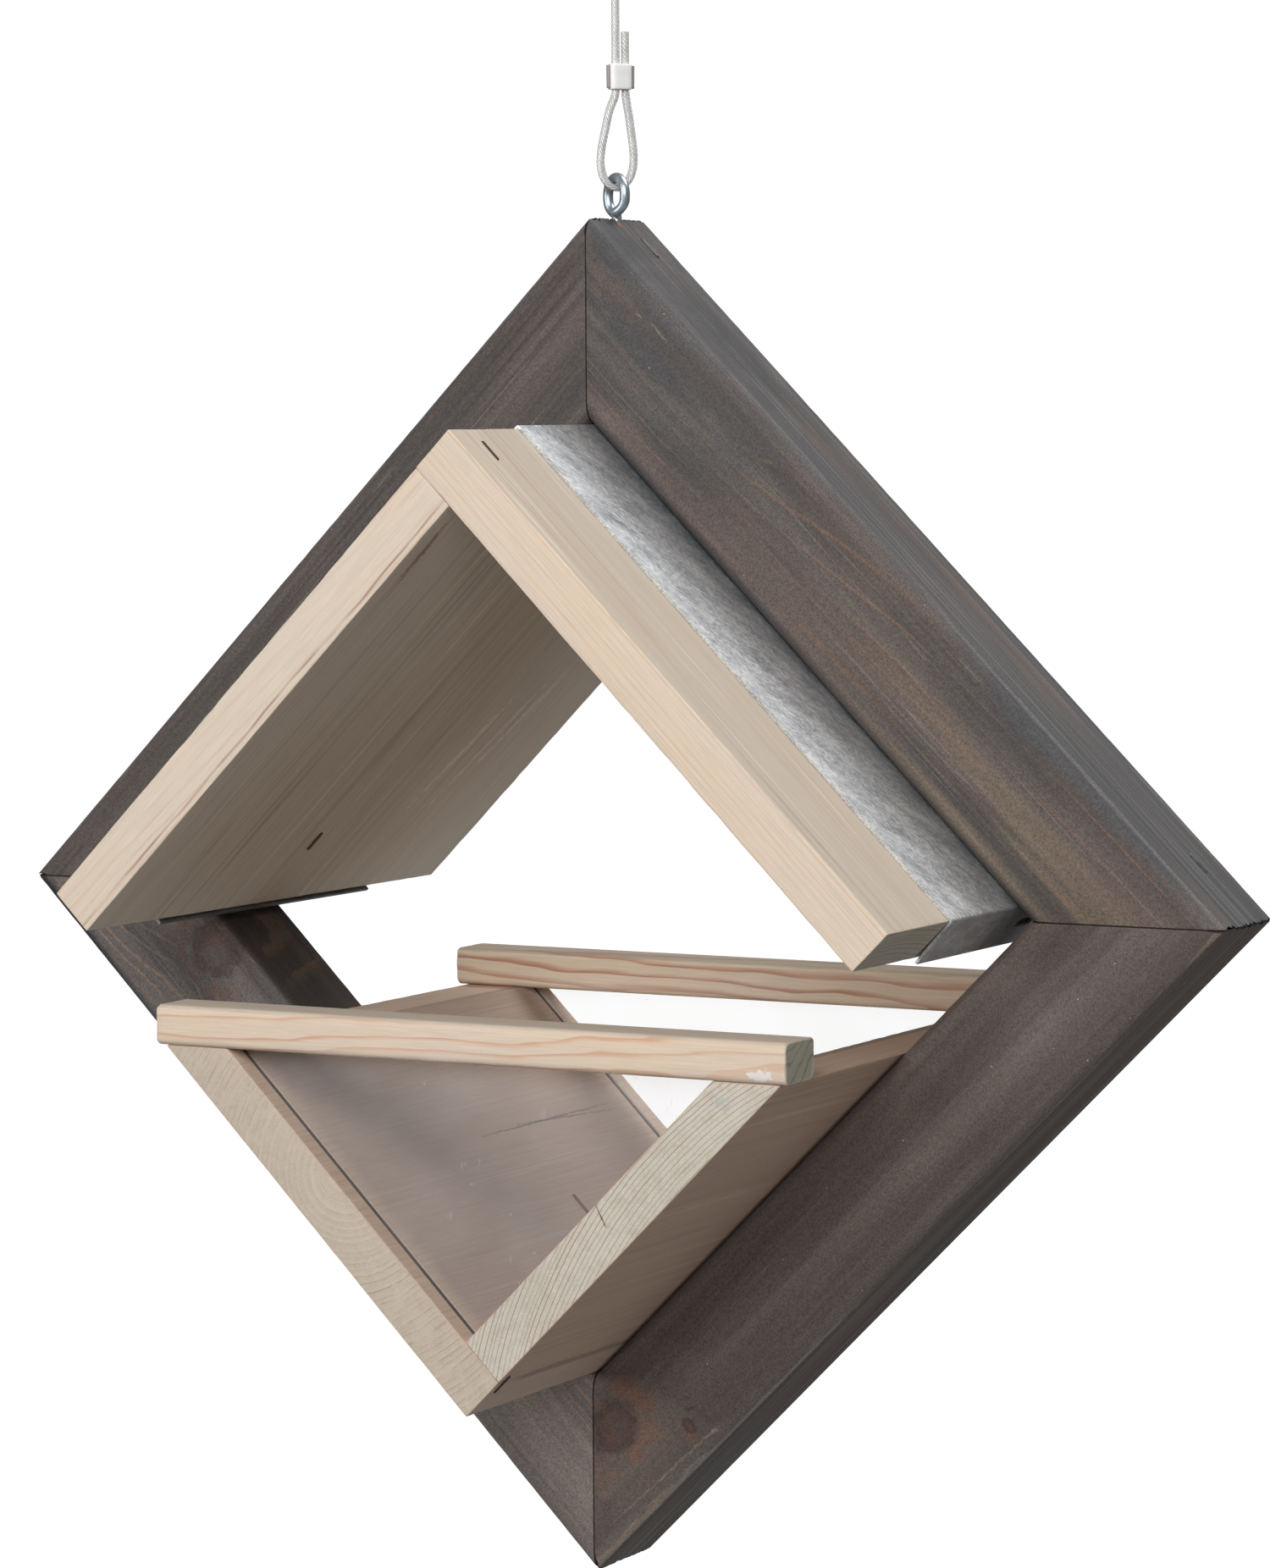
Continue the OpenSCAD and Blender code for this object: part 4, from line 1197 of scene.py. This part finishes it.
plain_steel = plated_wire("staple steel", "#8d8f92", "#4c4c4e", 1.0, 0.3, 0.25, rust=0.2)
# the corner staples' light and dark clouds are painted glints
glinting_steel = plated_wire("glinting staple", "#a8a8a6", "#2c2b2b", 0.7, 0.3, 0.25, rust=0.2)
dull_steel = plated_wire("dull staple", "#5a5048", "#2e2824", 0.3, 0.45, 0.2, rust=0.25)
rusty_steel = plated_wire("rusty staple", "#7a4531", "#4a2a1f", 0.2, 0.6, 0.25, rust=0.6)
pane_plastic = clear_pane()
finer_staples("tray_keel_staples", 0.45, dull_steel)
finer_staples("roof_ridge_staples", 0.5, dull_steel)
for node, material in (("roof_cover", galvanised_sheet()), ("pane_front", pane_plastic),
                       ("pane_rear", pane_plastic), ("frame_corner_staples", glinting_steel),
                       ("roof_frame_staples", dull_steel), ("perch_brads", plain_steel),
                       ("tray_frame_staples", rusty_steel)):
    kept_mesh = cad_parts[node].data
    kept_mesh.materials.clear()
    kept_mesh.materials.append(material)

# ---------------------------------------------------------------- floor and light
WHITE = (1, 1, 1, 1)
FLOOR_REACH, FLOOR_Z = 40.0, -2.0


def stage_floor():
    mesh = bpy.data.meshes.new("studio_floor")
    r = FLOOR_REACH
    mesh.from_pydata([(-r, -r, FLOOR_Z), (r, -r, FLOOR_Z), (r, r, FLOOR_Z), (-r, r, FLOOR_Z)],
                     [], [(0, 1, 2, 3)])
    made, tree, finish = new_material("pale studio floor")
    feed(finish, {"Base Color": (0.45, 0.45, 0.45, 1), "Roughness": 0.9, "Emission Color": WHITE,
                  "Emission Strength": put(tree, "LightPath")["Is Camera Ray"]})
    mesh.materials.append(made)
    new_object("studio_floor", mesh)


def soft_box(name, at, size, energy, seen_in_gloss=True):
    """A rectangular lamp that faces the middle of the frame."""
    data = bpy.data.lights.new(name, "AREA")
    data.shape, data.energy = "RECTANGLE", energy
    data.size, data.size_y = size
    lamp = new_object(name, data)
    lamp.visible_glossy = seen_in_gloss
    look = (MIDDLE - Vector(at)).to_track_quat("-Z", "Y")
    lamp.matrix_world = Matrix.Translation(at) @ look.to_matrix().to_4x4()


def studio_sky(strength, behind):
    """A dim white sky, which the camera itself sees as bright."""
    world = bpy.data.worlds.new("studio")
    world.use_nodes = True
    tree = world.node_tree
    tree.nodes.clear()
    dim, bright = [put(tree, "Background", {"Color": WHITE, "Strength": value})[0]
                   for value in (strength, behind)]
    seen = put(tree, "LightPath")["Is Camera Ray"]
    mixed = put(tree, "MixShader", {0: seen, 1: dim, 2: bright})[0]
    feed(tree.nodes.new("ShaderNodeOutputWorld").inputs, {0: mixed})
    bpy.context.scene.world = world


stage_floor()
studio_sky(0.12, 1.05)
soft_box("key_box", (0.9, -2.4, 0.93), (2.0, 1.6), 62)
soft_box("left_front_box", (-1.6, -2.5, 0.3), (1.6, 1.6), 26)
soft_box("top_box", (0.8, 1.0, 2.0), (1.8, 1.8), 50)
soft_box("back_box", (0.0, 3.4, -0.4), (4.0, 2.4), 16, seen_in_gloss=False)
bpy.context.scene.view_settings.view_transform = "Standard"
